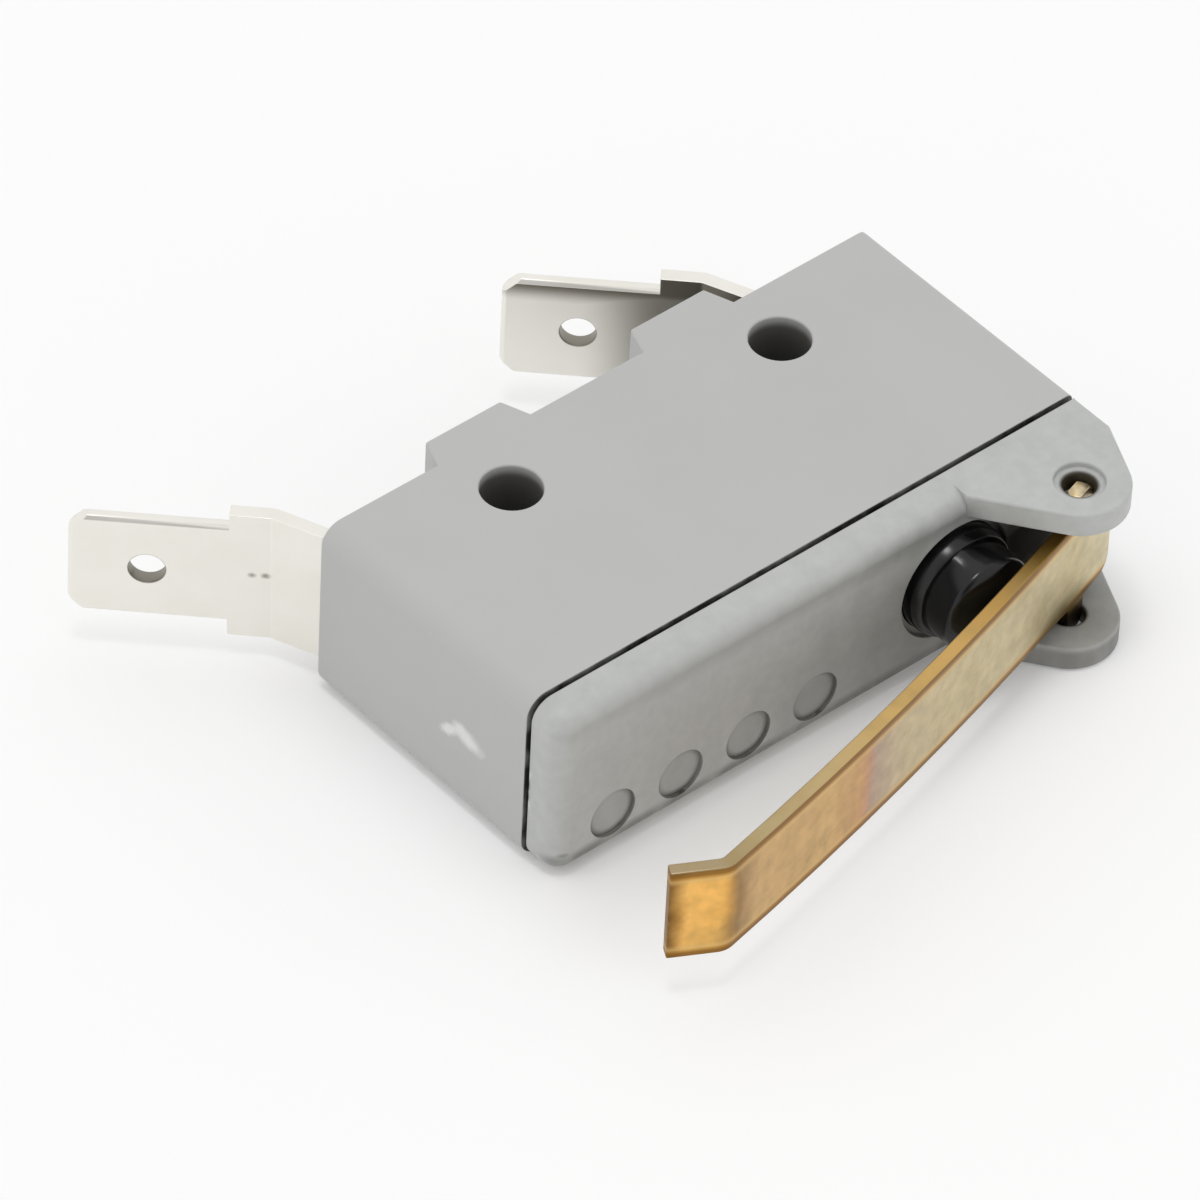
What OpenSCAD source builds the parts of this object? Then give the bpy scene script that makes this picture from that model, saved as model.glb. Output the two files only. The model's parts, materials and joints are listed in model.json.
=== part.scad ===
// Snap-action micro switch with a hinged brass lever and two tab terminals.
// Millimetres. The origin lies midway between the two mounting holes, on the
// lower broad face. +X runs towards the lever pivot, +Y towards the terminals.

/* [Housing] */
// Length of the housing from end to end
body_length = 35.3; // [35:0.1:42]
// Depth of the housing from the cover seam to the back face
body_depth = 15.5; // [15.3:0.1:19]
// Thickness of the housing between its two broad faces
body_thickness = 10.6; // [10.4:0.1:14]
// Thickness of the side walls and end walls
wall = 1.2; // [0.9:0.05:1.25]
// Thickness of the back wall that the terminals pass through
back_wall = 1.5; // [1.2:0.1:1.6]
// Radius of the long edges at the contact end
contact_end_radius = 1.2; // [0.4:0.1:1.5]
// Radius of the long edges at the lever end
lever_end_radius = 0.4; // [0.2:0.1:0.8]

/* [Mounting holes] */
// Diameter of each mounting hole
hole_diameter = 3.2; // [2.8:0.1:3.4]
// Distance between the two mounting holes
hole_spacing = 17.45; // [15:0.05:17.6]
// First mounting hole, measured from the contact end
hole_from_end = 9.15; // [7:0.05:9.3]
// Mounting holes, measured from the back face
hole_from_back = 3.5; // [3:0.1:4.5]
// Wall left round each mounting hole inside the housing
hole_wall = 0.75; // [0.5:0.05:0.8]

/* [Back lugs] */
// Width of each lug where it meets the back face
lug_width = 6; // [3:0.1:7]
// Amount by which each lug narrows on either side
lug_taper = 0.6; // [0:0.1:1.2]
// Height of the lugs behind the back face
lug_height = 1.6; // [0.5:0.1:2.5]
// Centre of the first lug, measured from the contact end
first_lug_from_end = 10.35; // [8:0.05:13]
// Centre of the second lug, measured from the contact end
second_lug_from_end = 23.6; // [21:0.05:24]

/* [Cover] */
// Distance of the cover's front face from the seam
cover_depth = 2.3; // [2:0.1:3.5]
// Width of the open seam between housing and cover
seam_gap = 0.2; // [0.1:0.05:0.4]
// Amount by which the cover stays inside the housing's outline
cover_inset = 0.1; // [0:0.05:0.3]
// Radius of the cover's soft front edges
cover_edge_radius = 1.2; // [0.5:0.1:1.5]
// Length of the cover's tongue inside the housing
tongue_length = 1.3; // [0.8:0.1:1.5]
// Thickness of the tongue
tongue_thickness = 0.8; // [0.5:0.1:1]
// Clearance between the tongue and the housing walls
tongue_clearance = 0.05; // [0.02:0.01:0.1]
// Diameter of the round mould marks on the front face
mark_diameter = 2.8; // [1.5:0.1:3.2]
// Depth of the round mould marks
mark_depth = 0.2; // [0.05:0.01:0.3]
// First mould mark, measured from the contact end
first_mark_from_end = 3.8; // [3:0.1:5]
// Distance between neighbouring mould marks
mark_pitch = 4.35; // [3.4:0.05:4.6]
// Height of the mould marks above the lower broad face
mark_height = 2.6; // [2.5:0.1:5]
// Number of mould marks
mark_count = 4; // [0:1:4]

/* [Lever pivot] */
// Thickness of each cover ear
ear_thickness = 1.4; // [1.2:0.1:1.8]
// Radius of the ears round the pivot
ear_radius = 2.6; // [2.2:0.1:2.8]
// Foot of the ears on the front face, measured from the pivot
ear_foot = 5.1; // [4:0.1:6]
// Distance by which the ears run straight on past the front face
ear_shoulder = 0.5; // [0:0.1:0.8]
// Pivot, measured from the lever end of the housing
pivot_from_end = 3.9; // [3.8:0.1:5]
// Distance of the pivot in front of the cover's front face
pivot_reach = 2.5; // [2.4:0.1:3.2]
// Diameter across the flat pins on the lever's edges
pin_diameter = 1.6; // [1.2:0.1:1.8]
// Radial clearance of running fits
running_clearance = 0.05; // [0.02:0.01:0.09]
// Bevel at the ends of the flat pins
pin_bevel = 0.25; // [0.1:0.05:0.3]
// Distance from the ear's face down to the end of its pin
pin_recess = 0.6; // [0.4:0.1:0.8]
// Diameter of the sunk mouth round each pin
pin_mouth_diameter = 2.6; // [2.2:0.1:3]
// Depth of the sunk mouth
pin_mouth_depth = 0.3; // [0.1:0.1:0.4]

/* [Lever] */
// Width of the lever strip
lever_width = 5.7; // [4:0.1:6.2]
// Thickness of the lever strip
lever_thickness = 0.75; // [0.5:0.05:0.8]
// Angle between the lever and the front face at the pivot, free position
lever_angle = 17.5; // [15:0.1:20]
// Length of the lever from the pivot to the bend at its tip
lever_length = 30; // [20:0.5:31]
// Angle by which the lever bows along its length
bow_angle = 6.4; // [3:0.1:8]
// Length of the lever's straight stretch between the pivot and its bow
straight_length = 1.6; // [1:0.1:2.5]
// Length of the lever's tail behind the pivot
tail_length = 3.1; // [2:0.1:3.5]
// Radius of the tail's corners
tail_corner_radius = 1; // [0.3:0.1:1.2]
// Length of the bent tip
tip_length = 2.5; // [1.5:0.1:4]
// Angle by which the tip is bent back towards the housing
tip_angle = 40; // [10:1:45]

/* [Plunger] */
// Plunger axis, measured from the pivot
plunger_arm = 5.6; // [5.2:0.05:6]
// Diameter of the plunger where it runs in the cover
plunger_diameter = 6.2; // [5:0.1:6.3]
// Diameter of the plunger's cap outside the cover
cap_diameter = 5.5; // [4:0.1:5.6]
// Height of the plunger's collar in front of the cover
collar_height = 0.8; // [0.2:0.05:0.9]
// Bevel at the collar's edge
collar_bevel = 0.15; // [0.05:0.05:0.15]
// Radius of the plunger's dome
dome_radius = 4; // [2.8:0.1:4.5]
// Clearance between the dome and the lever, and between the stem and the toggle
touch_clearance = 0.05; // [0.03:0.01:0.1]
// Width of the sunk ring round the plunger in the cover's front face
ring_width = 0.3; // [0.1:0.05:0.4]
// Depth of that ring
ring_depth = 0.4; // [0.1:0.1:0.6]
// Width of the rim that keeps the plunger in the cover
flange_rim = 0.4; // [0.3:0.05:0.5]
// Thickness of that rim
flange_thickness = 0.7; // [0.4:0.1:0.8]
// Room round the rim inside the cover
flange_room = 0.2; // [0.1:0.05:0.3]
// Diameter of the stem that works the toggle
stem_diameter = 2.2; // [1.6:0.1:2.4]

/* [Terminals] */
// Width of each tab
tab_width = 6.3; // [4.8:0.1:6.3]
// Thickness of the terminal sheet
tab_thickness = 0.8; // [0.5:0.1:0.8]
// Length of each tab from its shoulder to its tip
tab_length = 7.9; // [6:0.1:9]
// Chamfer at the corners of each tab's tip
tab_chamfer = 0.9; // [0.3:0.1:1.5]
// Bevel coined along the edges of each tab
tab_edge_bevel = 0.2; // [0.05:0.05:0.24]
// Diameter of the hole in each tab
tab_hole_diameter = 1.85; // [1.2:0.05:2.2]
// Hole in each tab, measured from its tip
tab_hole_from_tip = 3.9; // [2.5:0.1:5]
// Clearance of the terminals' wide part to the side walls
leg_clearance = 0.1; // [0.05:0.05:0.4]
// Distance from the outer bend to the shoulder
shoulder_length = 2.15; // [1:0.05:4]
// Angle at which the terminals leave the back face
lead_angle = 22.5; // [5:0.5:30]
// Angle between the tabs and the direction of the mounting-hole depth
tab_angle = 45; // [30:1:60]
// Distance from the inner bend to the outer bend
lead_length = 5.4; // [4.5:0.1:8]
// Distance of the inner bend from the back face
knee_depth = 1.7; // [1.6:0.1:2.5]
// Radius of the bends, measured at the middle of the sheet
sheet_bend_radius = 0.8; // [0.5:0.1:1]
// Clearance between the contact terminal's leg and the end wall
leg_to_end_wall = 0.25; // [0.1:0.05:0.6]
// Clearance between the common terminal's leg and the wall round the mounting hole
leg_to_hole_wall = 0.3; // [0.15:0.05:0.6]
// Clearance of the terminals in the back wall
slot_clearance = 0.05; // [0.02:0.01:0.15]
// Length of the common terminal's leg in front of the contact arm's pivot
leg_overhang = 1.2; // [1.1:0.05:1.4]
// Thickness of the ribs that hold the common terminal's leg upright
rib_thickness = 0.8; // [0.5:0.1:1]
// Height of those ribs above the housing's floor and ceiling
rib_height = 0.9; // [0.4:0.1:1]
// Start of those ribs, measured back from the contact arm's pivot
rib_from_arm = 1.5; // [1.2:0.1:3]

/* [Snap mechanism] */
// Distance of the contact arm's pivot behind the seam
arm_depth = 3.4; // [3.2:0.1:4]
// Width of the contact arm
arm_width = 5.4; // [5:0.1:6]
// Width of the window in the contact arm
arm_window = 3; // [2.8:0.1:3.4]
// Thickness of the contact arm and the toggle
arm_thickness = 0.5; // [0.3:0.05:0.6]
// Angle through which the contact arm swings from stop to contact
arm_swing_angle = 2.2; // [1.5:0.1:2.6]
// Moving contact, measured from the contact end
contact_from_end = 5.2; // [4.5:0.1:7]
// Diameter of the silver contacts
contact_diameter = 3; // [2:0.1:3.4]
// Height of the silver contacts above their carrier
contact_height = 0.55; // [0.3:0.05:0.8]
// Bevel at the edge of the silver contacts
contact_bevel = 0.2; // [0.05:0.05:0.25]
// Sheet left round the silver contacts
contact_margin = 0.3; // [0.2:0.05:0.4]
// Width of the post on the cover that the contact arm rests against
stop_width = 3; // [2:0.1:4]
// Diameter of the contacts' rivet shanks
shank_diameter = 1.2; // [0.8:0.1:1.6]
// Height of the closed head at the other end of a rivet
closed_head_height = 0.3; // [0.2:0.05:0.4]
// Clearance where moving pieces come to rest against fixed ones
rest_clearance = 0.05; // [0.03:0.01:0.1]
// Width of the toggle strip
toggle_width = 2; // [1.6:0.1:2.2]
// Room beside the toggle in the common terminal
toggle_play = 0.2; // [0.1:0.05:0.25]
// Height of the toggle's opening in the common terminal
toggle_opening = 1.6; // [1.5:0.05:1.8]
// Length of the toggle from its pivot to its free end
toggle_length = 8.4; // [7.5:0.1:9]
// Angle of the toggle towards the cover in the free position
toggle_angle = 10; // [8:0.5:11]
// Width of the cross-piece that hooks the toggle behind the common terminal
toggle_head_width = 4.6; // [3.8:0.1:5]
// Length of that cross-piece
toggle_head_length = 0.5; // [0.4:0.05:0.7]
// Clearance between that cross-piece and the common terminal
toggle_clearance = 0.08; // [0.07:0.01:0.12]
// Spring hook in the toggle, measured from its free end
hook_edge = 0.7; // [0.6:0.05:0.9]
// Spring hook in the contact arm, as a share of the arm's length
hook_share = 0.73; // [0.72:0.01:0.75]
// Diameter of the toggle spring's wire
wire_diameter = 0.4; // [0.3:0.05:0.45]
// Mean diameter of the toggle spring's coil
coil_diameter = 1.5; // [1.2:0.1:1.7]

/* [Hidden] */
$fn = 64;

// Facets of shapes that are wrapped in a hull
soft_fn = 32;
// Steps in each bend of a strip
bend_steps = 8;
// Extra length of cutting shapes
cut = 1;
// Overlap of shapes that are joined
joined = 0.01;

// Main planes of the housing
x_contact_end = -(hole_from_end + hole_spacing / 2);
x_lever_end = x_contact_end + body_length;
y_back = hole_from_back;
y_seam = y_back - body_depth;
y_front = y_seam - cover_depth;
y_cover_back = y_seam - seam_gap;
z_mid = body_thickness / 2;
hole_outer_radius = hole_diameter / 2 + hole_wall;

// Lever and its pivot
pivot = [x_lever_end - pivot_from_end, y_front - pivot_reach];
pin_radius = pin_diameter / 2;
bow_radius = (lever_length - straight_length) * 180 / (PI * bow_angle);
bow_trim = bow_radius * tan(bow_angle / 2);
tip_radius = lever_thickness * 1.2;
tip_trim = tip_radius * tan(tip_angle / 2);
// Centre of the lever's bow, on the housing's side of the strip
bow_centre =
    pivot
    + straight_length * lever_direction()
    + bow_radius * [-sin(lever_angle), cos(lever_angle)];

// Plunger: its dome lies against the concave inner face of the lever
plunger_x = pivot[0] - plunger_arm;
dome_reach = bow_radius - lever_thickness / 2 - dome_radius - touch_clearance;
y_dome = bow_centre[1] - sqrt(pow(dome_reach, 2) - pow(plunger_x - bow_centre[0], 2));
cap_radius = cap_diameter / 2;
dome_height = dome_radius - sqrt(pow(dome_radius, 2) - pow(cap_radius, 2));
stem_radius = stem_diameter / 2;
flange_diameter = plunger_diameter + 2 * flange_rim;

// Terminals
x_contact_leg = x_contact_end + wall + leg_to_end_wall + tab_thickness / 2;
x_common_leg = hole_spacing / 2 + hole_outer_radius + leg_to_hole_wall + tab_thickness / 2;
y_knee = y_back - knee_depth;
shoulder_width = body_thickness - 2 * (wall + leg_clearance);

// Contact arm on its knife edges, and the toggle that runs in its window
y_arm = y_seam + arm_depth;
notch_depth = tab_thickness / 2;
x_arm_pivot = x_common_leg - tab_thickness / 2 + notch_depth - rest_clearance;
x_contact = x_contact_end + contact_from_end;
arm_lift = arm_swing_angle / 2;
arm_reach = x_arm_pivot - x_contact;
prong_width = (arm_width - arm_window) / 2;
x_toggle_pivot = x_common_leg + tab_thickness / 2 + toggle_clearance;
hook_hole_diameter = 2 * wire_diameter;

// Heights of the closed contact, measured along Y
arm_drop = arm_reach * sin(arm_lift);
y_contact_face = y_arm + arm_drop + arm_thickness / 2 + contact_height + rest_clearance;
y_foot = y_contact_face + contact_height + tab_thickness / 2;
y_stop = y_arm - arm_drop - arm_thickness / 2 - closed_head_height - rest_clearance;
foot_length = x_contact - x_contact_leg + contact_diameter / 2 + contact_margin;

// Toggle spring, hooked into the arm at one end and the toggle at the other
coil_radius = coil_diameter / 2;
hook_on_arm = arm_reach * hook_share;
hook_on_toggle = toggle_length - hook_edge;
arm_hole = [x_arm_pivot, y_arm] - hook_on_arm * [cos(arm_lift), sin(arm_lift)];
toggle_hole = [x_toggle_pivot, y_arm] - hook_on_toggle * [cos(toggle_angle), sin(toggle_angle)];
spring_line = toggle_hole - arm_hole;
spring_angle = atan2(spring_line[1], spring_line[0]);
spring_span = norm(spring_line) - 2 * coil_radius;
spring_start = arm_hole + coil_radius * spring_line / norm(spring_line);
coil_turns = floor((spring_span - 2 * coil_radius - 2 * wire_diameter) / wire_diameter);

// Direction of the lever where it leaves the pivot
function lever_direction() = [-cos(lever_angle), -sin(lever_angle)];

// Length that a bend of the given angle and radius takes off each leg
function bend_trim(bend) = bend[1] * tan(abs(bend[0]) / 2);

// Point where the tangent from p touches the circle of radius r round c
function tangent_point(p, c, r, side) =
    let (away = p - c, reach = norm(away), turn = side * acos(r / reach))
    c + r / reach * [
        away[0] * cos(turn) - away[1] * sin(turn),
        away[0] * sin(turn) + away[1] * cos(turn)
    ];

// Unit vector at an angle in plan, and the one to its left
function ahead(angle) = [cos(angle), sin(angle)];
function leftward(angle) = [-sin(angle), cos(angle)];

// Points of a line that runs beside the middle line of a bent strip. Legs are
// measured between the corners of the bends, and each bend is [angle, radius]
// with left turns positive.
function strip_line(legs, bends, beside, i = 0, corner = [0, 0], angle = 0) =
    i == len(bends)
        ? [corner + legs[i] * ahead(angle) + beside * leftward(angle)]
        : let (
            turn = bends[i][0],
            radius = bends[i][1],
            next = corner + legs[i] * ahead(angle),
            centre = next - bend_trim(bends[i]) * ahead(angle) + sign(turn) * radius * leftward(angle),
            reach = sign(turn) * radius - beside
        )
        concat(
            i == 0 ? [corner + beside * leftward(angle)] : [],
            [for (k = [0 : bend_steps]) centre - reach * leftward(angle + turn * k / bend_steps)],
            strip_line(legs, bends, beside, i + 1, next, angle + turn)
        );

// Sheet strip that starts along +X and is bent about Z
module bent_strip(legs, bends, thickness, width) {
    left = strip_line(legs, bends, thickness / 2);
    right = strip_line(legs, bends, -thickness / 2);
    linear_extrude(width, center = true)
        polygon(concat(right, [for (i = [len(left) - 1 : -1 : 0]) left[i]]));
}

// Outline in X and Z with one radius at each end
module end_rounded(x0, x1, z0, z1, r0, r1) {
    translate([x0 + r0, z0])
        square([x1 - x0 - r0 - r1, z1 - z0]);
    translate([x0, z0 + r0])
        square([2 * r0, z1 - z0 - 2 * r0]);
    translate([x1 - 2 * r1, z0 + r1])
        square([2 * r1, z1 - z0 - 2 * r1]);
    for (z = [z0, z1]) {
        inward = z == z0 ? 1 : -1;
        translate([x0 + r0, z + inward * r0])
            circle(r0);
        translate([x1 - r1, z + inward * r1])
            circle(r1);
    }
}

// Extrudes an X and Z outline from one Y plane to another
module along_y(y0, y1) {
    translate([0, y1, 0])
        rotate([90, 0, 0])
            linear_extrude(y1 - y0)
                children();
}

// Places a shape that was made along +Z so that it points along -Y
module towards_front(x, y, z) {
    translate([x, y, z])
        rotate([90, 0, 0])
            children();
}

module lug(from_end) {
    top = lug_width / 2 - lug_taper;
    translate([x_contact_end + from_end, y_back, 0])
        linear_extrude(body_thickness)
            polygon([
                [-lug_width / 2, -back_wall / 2], [-lug_width / 2, 0], [-top, lug_height],
                [top, lug_height], [lug_width / 2, 0], [lug_width / 2, -back_wall / 2]
            ]);
}

// Ribs on the floor and the ceiling that hold the common terminal's leg upright
module leg_ribs() {
    y_start = y_arm + rib_from_arm;
    rib = [rib_thickness, y_knee - sheet_bend_radius - y_start, wall / 2 + rib_height];
    side = tab_thickness / 2 + slot_clearance;
    for (x = [x_common_leg - side - rib[0], x_common_leg + side])
        for (z = [wall / 2, body_thickness - wall / 2 - rib[2]])
            translate([x, y_start, z])
                cube(rib);
}

// Both mounting holes and what surrounds them share these places
module at_holes() {
    for (side = [-1, 1])
        translate([side * hole_spacing / 2, 0, 0])
            children();
}

// Leg, lead and tab of one terminal. extra widens it for the slot in the wall.
module terminal_sheet(x_leg, y_start, extra = 0) {
    translate([x_leg, y_start, z_mid])
        rotate([0, 0, 90])
            bent_strip(
                [y_knee - y_start, lead_length, shoulder_length + tab_length],
                [[lead_angle, sheet_bend_radius], [tab_angle - lead_angle, sheet_bend_radius]],
                tab_thickness + 2 * extra,
                shoulder_width + 2 * extra
            );
}

// Places a shape at the outer bend of a terminal, with +X along its tab
module at_tab(x_leg) {
    translate([x_leg, y_knee, z_mid])
        rotate([0, 0, 90 + lead_angle])
            translate([lead_length, 0, 0])
                rotate([0, 0, tab_angle - lead_angle])
                    children();
}

// Waste that is cut from a terminal to leave the narrow tab with its hole
module tab_cuts(x_leg) {
    tab_end = shoulder_length + tab_length;
    side = (shoulder_width - tab_width) / 2;
    bevel = tab_edge_bevel * sqrt(2);
    at_tab(x_leg) {
        for (turn = [0, 180])
            rotate([turn, 0, 0]) {
                translate([shoulder_length, -cut, tab_width / 2])
                    cube([tab_length + cut, 2 * cut, side + cut]);
                translate([tab_end - tab_chamfer, -cut, tab_width / 2])
                    rotate([0, 45, 0])
                        cube([2 * tab_chamfer, 2 * cut, 2 * tab_chamfer]);
            }
        translate([tab_end - tab_hole_from_tip, cut, 0])
            rotate([90, 0, 0])
                cylinder(d = tab_hole_diameter, h = 2 * cut);
        for (y = [-1, 1] * tab_thickness / 2) {
            for (z = [-1, 1] * tab_width / 2)
                translate([shoulder_length, y, z])
                    rotate([45, 0, 0])
                        translate([0, -bevel / 2, -bevel / 2])
                            cube([tab_length + cut, bevel, bevel]);
            translate([tab_end, y, 0])
                rotate([0, 0, 45])
                    cube([bevel, bevel, tab_width], center = true);
        }
    }
}

// Contact rivet along +Z: shank below the origin, silver face above it
module contact_rivet(carrier_thickness) {
    radius = contact_diameter / 2;
    rotate_extrude()
        polygon([
            [0, contact_height], [radius - contact_bevel, contact_height],
            [radius, contact_height - contact_bevel], [radius, 0],
            [shank_diameter / 2 - tongue_clearance, 0],
            [shank_diameter / 2 - tongue_clearance, -carrier_thickness],
            [shank_diameter, -carrier_thickness],
            [shank_diameter, -carrier_thickness - closed_head_height],
            [0, -carrier_thickness - closed_head_height]
        ]);
}

// Places a shape on the contact arm, with +X from the knife edge to the contact
module on_arm() {
    translate([x_arm_pivot, y_arm, z_mid])
        rotate([0, 0, 180 + arm_lift])
            children();
}

// Places a shape on the toggle, with +X from its pivot to its free end
module on_toggle() {
    translate([x_toggle_pivot, y_arm, z_mid])
        rotate([0, 0, 180 + toggle_angle])
            children();
}

// Half section of the close-wound coil, with one bead for each turn
module coil_section(turns) {
    bead = wire_diameter / 2;
    beads = [
        for (i = [0 : turns - 1])
            for (side = [-1, 0, 1])
                [
                    coil_radius + bead * (side == 0 ? 1 : 0.5),
                    (i + 0.5 + 0.4 * side) * wire_diameter
                ]
    ];
    inner = coil_radius - bead;
    polygon(concat([[inner, 0]], beads, [[inner, turns * wire_diameter]]));
}

// Open hook round the origin, with a straight piece that runs on to the coil
module spring_hook(reach) {
    rotate([0, 0, 90])
        rotate_extrude(angle = 270, $fn = soft_fn)
            translate([coil_radius, 0])
                circle(d = wire_diameter, $fn = 16);
    translate([0, coil_radius, 0])
        rotate([0, 90, 0])
            cylinder(d = wire_diameter, h = reach, $fn = 16);
}

module housing() {
    color("#b9b9b8")
        difference() {
            union() {
                difference() {
                    union() {
                        along_y(y_seam, y_back)
                            end_rounded(
                                x_contact_end, x_lever_end, 0, body_thickness,
                                contact_end_radius, lever_end_radius
                            );
                        lug(first_lug_from_end);
                        lug(second_lug_from_end);
                    }
                    translate([x_contact_end + wall, y_seam - cut, wall])
                        cube([
                            body_length - 2 * wall,
                            body_depth - back_wall + cut,
                            body_thickness - 2 * wall
                        ]);
                }
                at_holes()
                    translate([0, 0, wall / 2])
                        cylinder(r = hole_outer_radius, h = body_thickness - wall);
                leg_ribs();
            }
            at_holes()
                translate([0, 0, -cut])
                    cylinder(d = hole_diameter, h = body_thickness + 2 * cut);
            for (x = [x_contact_leg, x_common_leg])
                terminal_sheet(x, y_knee - sheet_bend_radius, slot_clearance);
        }
}

// Soft-edged front plate of the cover, square at the lever end
module cover_plate() {
    x0 = x_contact_end + cover_inset;
    x1 = x_lever_end - cover_inset;
    z0 = cover_inset;
    z1 = body_thickness - cover_inset;
    edge = cover_edge_radius;
    corner = lever_end_radius;
    intersection() {
        hull()
            for (top = [false, true]) {
                z = top ? z1 - edge : z0 + edge;
                towards_front(x0 + edge, y_seam, z)
                    cylinder(r = edge, h = cover_depth - edge, $fn = soft_fn);
                translate([x0 + edge, y_front + edge, z])
                    sphere(edge, $fn = soft_fn);
                translate([x1 - corner, y_front + edge, z])
                    rotate([0, 90, 0])
                        cylinder(r = edge, h = corner, $fn = soft_fn);
                towards_front(x1 - corner, y_seam, top ? z1 - corner : z0 + corner)
                    cylinder(r = corner, h = cover_depth - edge, $fn = soft_fn);
            }
        translate([x_contact_end - cut, y_front - cut, -cut])
            cube([body_length + 2 * cut, y_cover_back - y_front + cut, body_thickness + 2 * cut]);
    }
}

// Tongue that closes the housing's open front from inside
module cover_tongue() {
    gap = wall + tongue_clearance;
    outer = [body_length - 2 * gap, body_thickness - 2 * gap];
    inner = outer - 2 * [tongue_thickness, tongue_thickness];
    along_y(y_cover_back - seam_gap, y_seam + tongue_length)
        translate([x_contact_end + gap, gap])
            difference() {
                square(outer);
                translate([tongue_thickness, tongue_thickness])
                    square(inner);
            }
}

// Outline of one ear in plan, tangent to the round end at the pivot
module ear_outline() {
    foot = [pivot[0] - ear_foot, y_front];
    shoulder = [x_lever_end - cover_inset, y_front - ear_shoulder];
    polygon([
        [foot[0], y_cover_back], foot, tangent_point(foot, pivot, ear_radius, 1), pivot,
        tangent_point(shoulder, pivot, ear_radius, -1), shoulder, [shoulder[0], y_cover_back]
    ]);
    translate(pivot)
        circle(ear_radius);
}

module cover() {
    z_low = cover_inset;
    z_high = body_thickness - cover_inset;
    color("#b4b6b1")
        difference() {
            union() {
                cover_plate();
                cover_tongue();
                for (z = [z_low, z_high - ear_thickness])
                    translate([0, 0, z])
                        linear_extrude(ear_thickness)
                            ear_outline();
                translate([
                    x_contact - shank_diameter, y_cover_back - seam_gap, z_mid - stop_width / 2
                ])
                    cube([2 * shank_diameter, y_stop - y_cover_back + seam_gap, stop_width]);
            }
            towards_front(plunger_x, y_seam + cut, z_mid)
                cylinder(
                    r = plunger_diameter / 2 + running_clearance,
                    h = cover_depth + 2 * cut
                );
            towards_front(plunger_x, y_front + ring_depth, z_mid)
                cylinder(
                    r = plunger_diameter / 2 + running_clearance + ring_width,
                    h = cut
                );
            // The lever's flat pins turn in both ears
            translate([pivot[0], pivot[1], -cut]) {
                cylinder(r = pin_radius + running_clearance, h = body_thickness + 2 * cut);
                cylinder(d = pin_mouth_diameter, h = cut + z_low + pin_mouth_depth);
                translate([0, 0, cut + z_high - pin_mouth_depth])
                    cylinder(d = pin_mouth_diameter, h = 2 * cut);
            }
            // Room for the flange where it meets the tongue
            towards_front(plunger_x, y_seam + tongue_length + cut, z_mid)
                cylinder(
                    r = flange_diameter / 2 + flange_room,
                    h = tongue_length + cut + seam_gap
                );
            if (mark_count > 0)
                for (i = [0 : mark_count - 1])
                    towards_front(
                        x_contact_end + first_mark_from_end + i * mark_pitch,
                        y_front + mark_depth, mark_height
                    )
                        cylinder(d = mark_diameter, h = cut);
        }
}

// Revolved about its own axis, with +Z towards the lever and the front face at 0
module plunger() {
    reach = y_front - (y_dome - dome_radius);
    cap_edge = reach - dome_height;
    y_flange = y_cover_back + rest_clearance;
    flange_back = y_front - y_flange - flange_thickness;
    stem_end = y_front - stem_tip() + stem_radius;
    radius = plunger_diameter / 2;
    color("#1d1d1f")
        towards_front(plunger_x, y_front, z_mid) {
            rotate_extrude()
                polygon([
                    [0, flange_back], [flange_diameter / 2, flange_back],
                    [flange_diameter / 2, y_front - y_flange],
                    [radius, y_front - y_flange], [radius, collar_height - collar_bevel],
                    [radius - collar_bevel, collar_height], [cap_radius, collar_height],
                    [cap_radius, cap_edge], [0, cap_edge]
                ]);
            intersection() {
                translate([0, 0, reach - dome_radius])
                    sphere(dome_radius);
                translate([0, 0, cap_edge - joined])
                    cylinder(r = cap_radius, h = dome_height + cut);
            }
            translate([0, 0, stem_end])
                sphere(stem_radius);
            translate([0, 0, stem_end])
                cylinder(r = stem_radius, h = flange_back - stem_end + flange_thickness / 2);
        }
}

// Y of the stem's round tip, which lies against the toggle's front face
function stem_tip() =
    y_arm
    - (x_toggle_pivot - plunger_x) * tan(toggle_angle)
    - (arm_thickness / 2 + touch_clearance + stem_radius) / cos(toggle_angle)
    + stem_radius;

// Round pin along Z with bevelled ends, which the lever's flat pins are part of
module round_pin() {
    half = z_mid - cover_inset - pin_recess;
    rotate_extrude()
        polygon([
            [0, -half], [pin_radius - pin_bevel, -half], [pin_radius, pin_bevel - half],
            [pin_radius, half - pin_bevel], [pin_radius - pin_bevel, half], [0, half]
        ]);
}

// One blade from tail to tip: flat pins on its two edges turn in the cover's ears
module lever() {
    corner = tail_corner_radius;
    color("#c8b48c")
        translate([pivot[0], pivot[1], z_mid])
            rotate([0, 0, 180 + lever_angle]) {
                translate([-tail_length, 0, 0])
                    difference() {
                        bent_strip(
                            [
                                tail_length + straight_length + bow_trim,
                                bow_trim + tip_trim,
                                tip_trim + tip_length
                            ],
                            [[-bow_angle, bow_radius], [-tip_angle, tip_radius]],
                            lever_thickness,
                            lever_width
                        );
                        for (turn = [0, 180])
                            rotate([turn, 0, 0])
                                translate([0, 0, lever_width / 2])
                                    difference() {
                                        cube(2 * corner, center = true);
                                        translate([corner, 0, -corner])
                                            rotate([90, 0, 0])
                                                cylinder(r = corner, h = 4 * corner, center = true);
                                    }
                    }
                intersection() {
                    round_pin();
                    cube([pin_diameter, lever_thickness, body_thickness], center = true);
                }
            }
}

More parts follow.
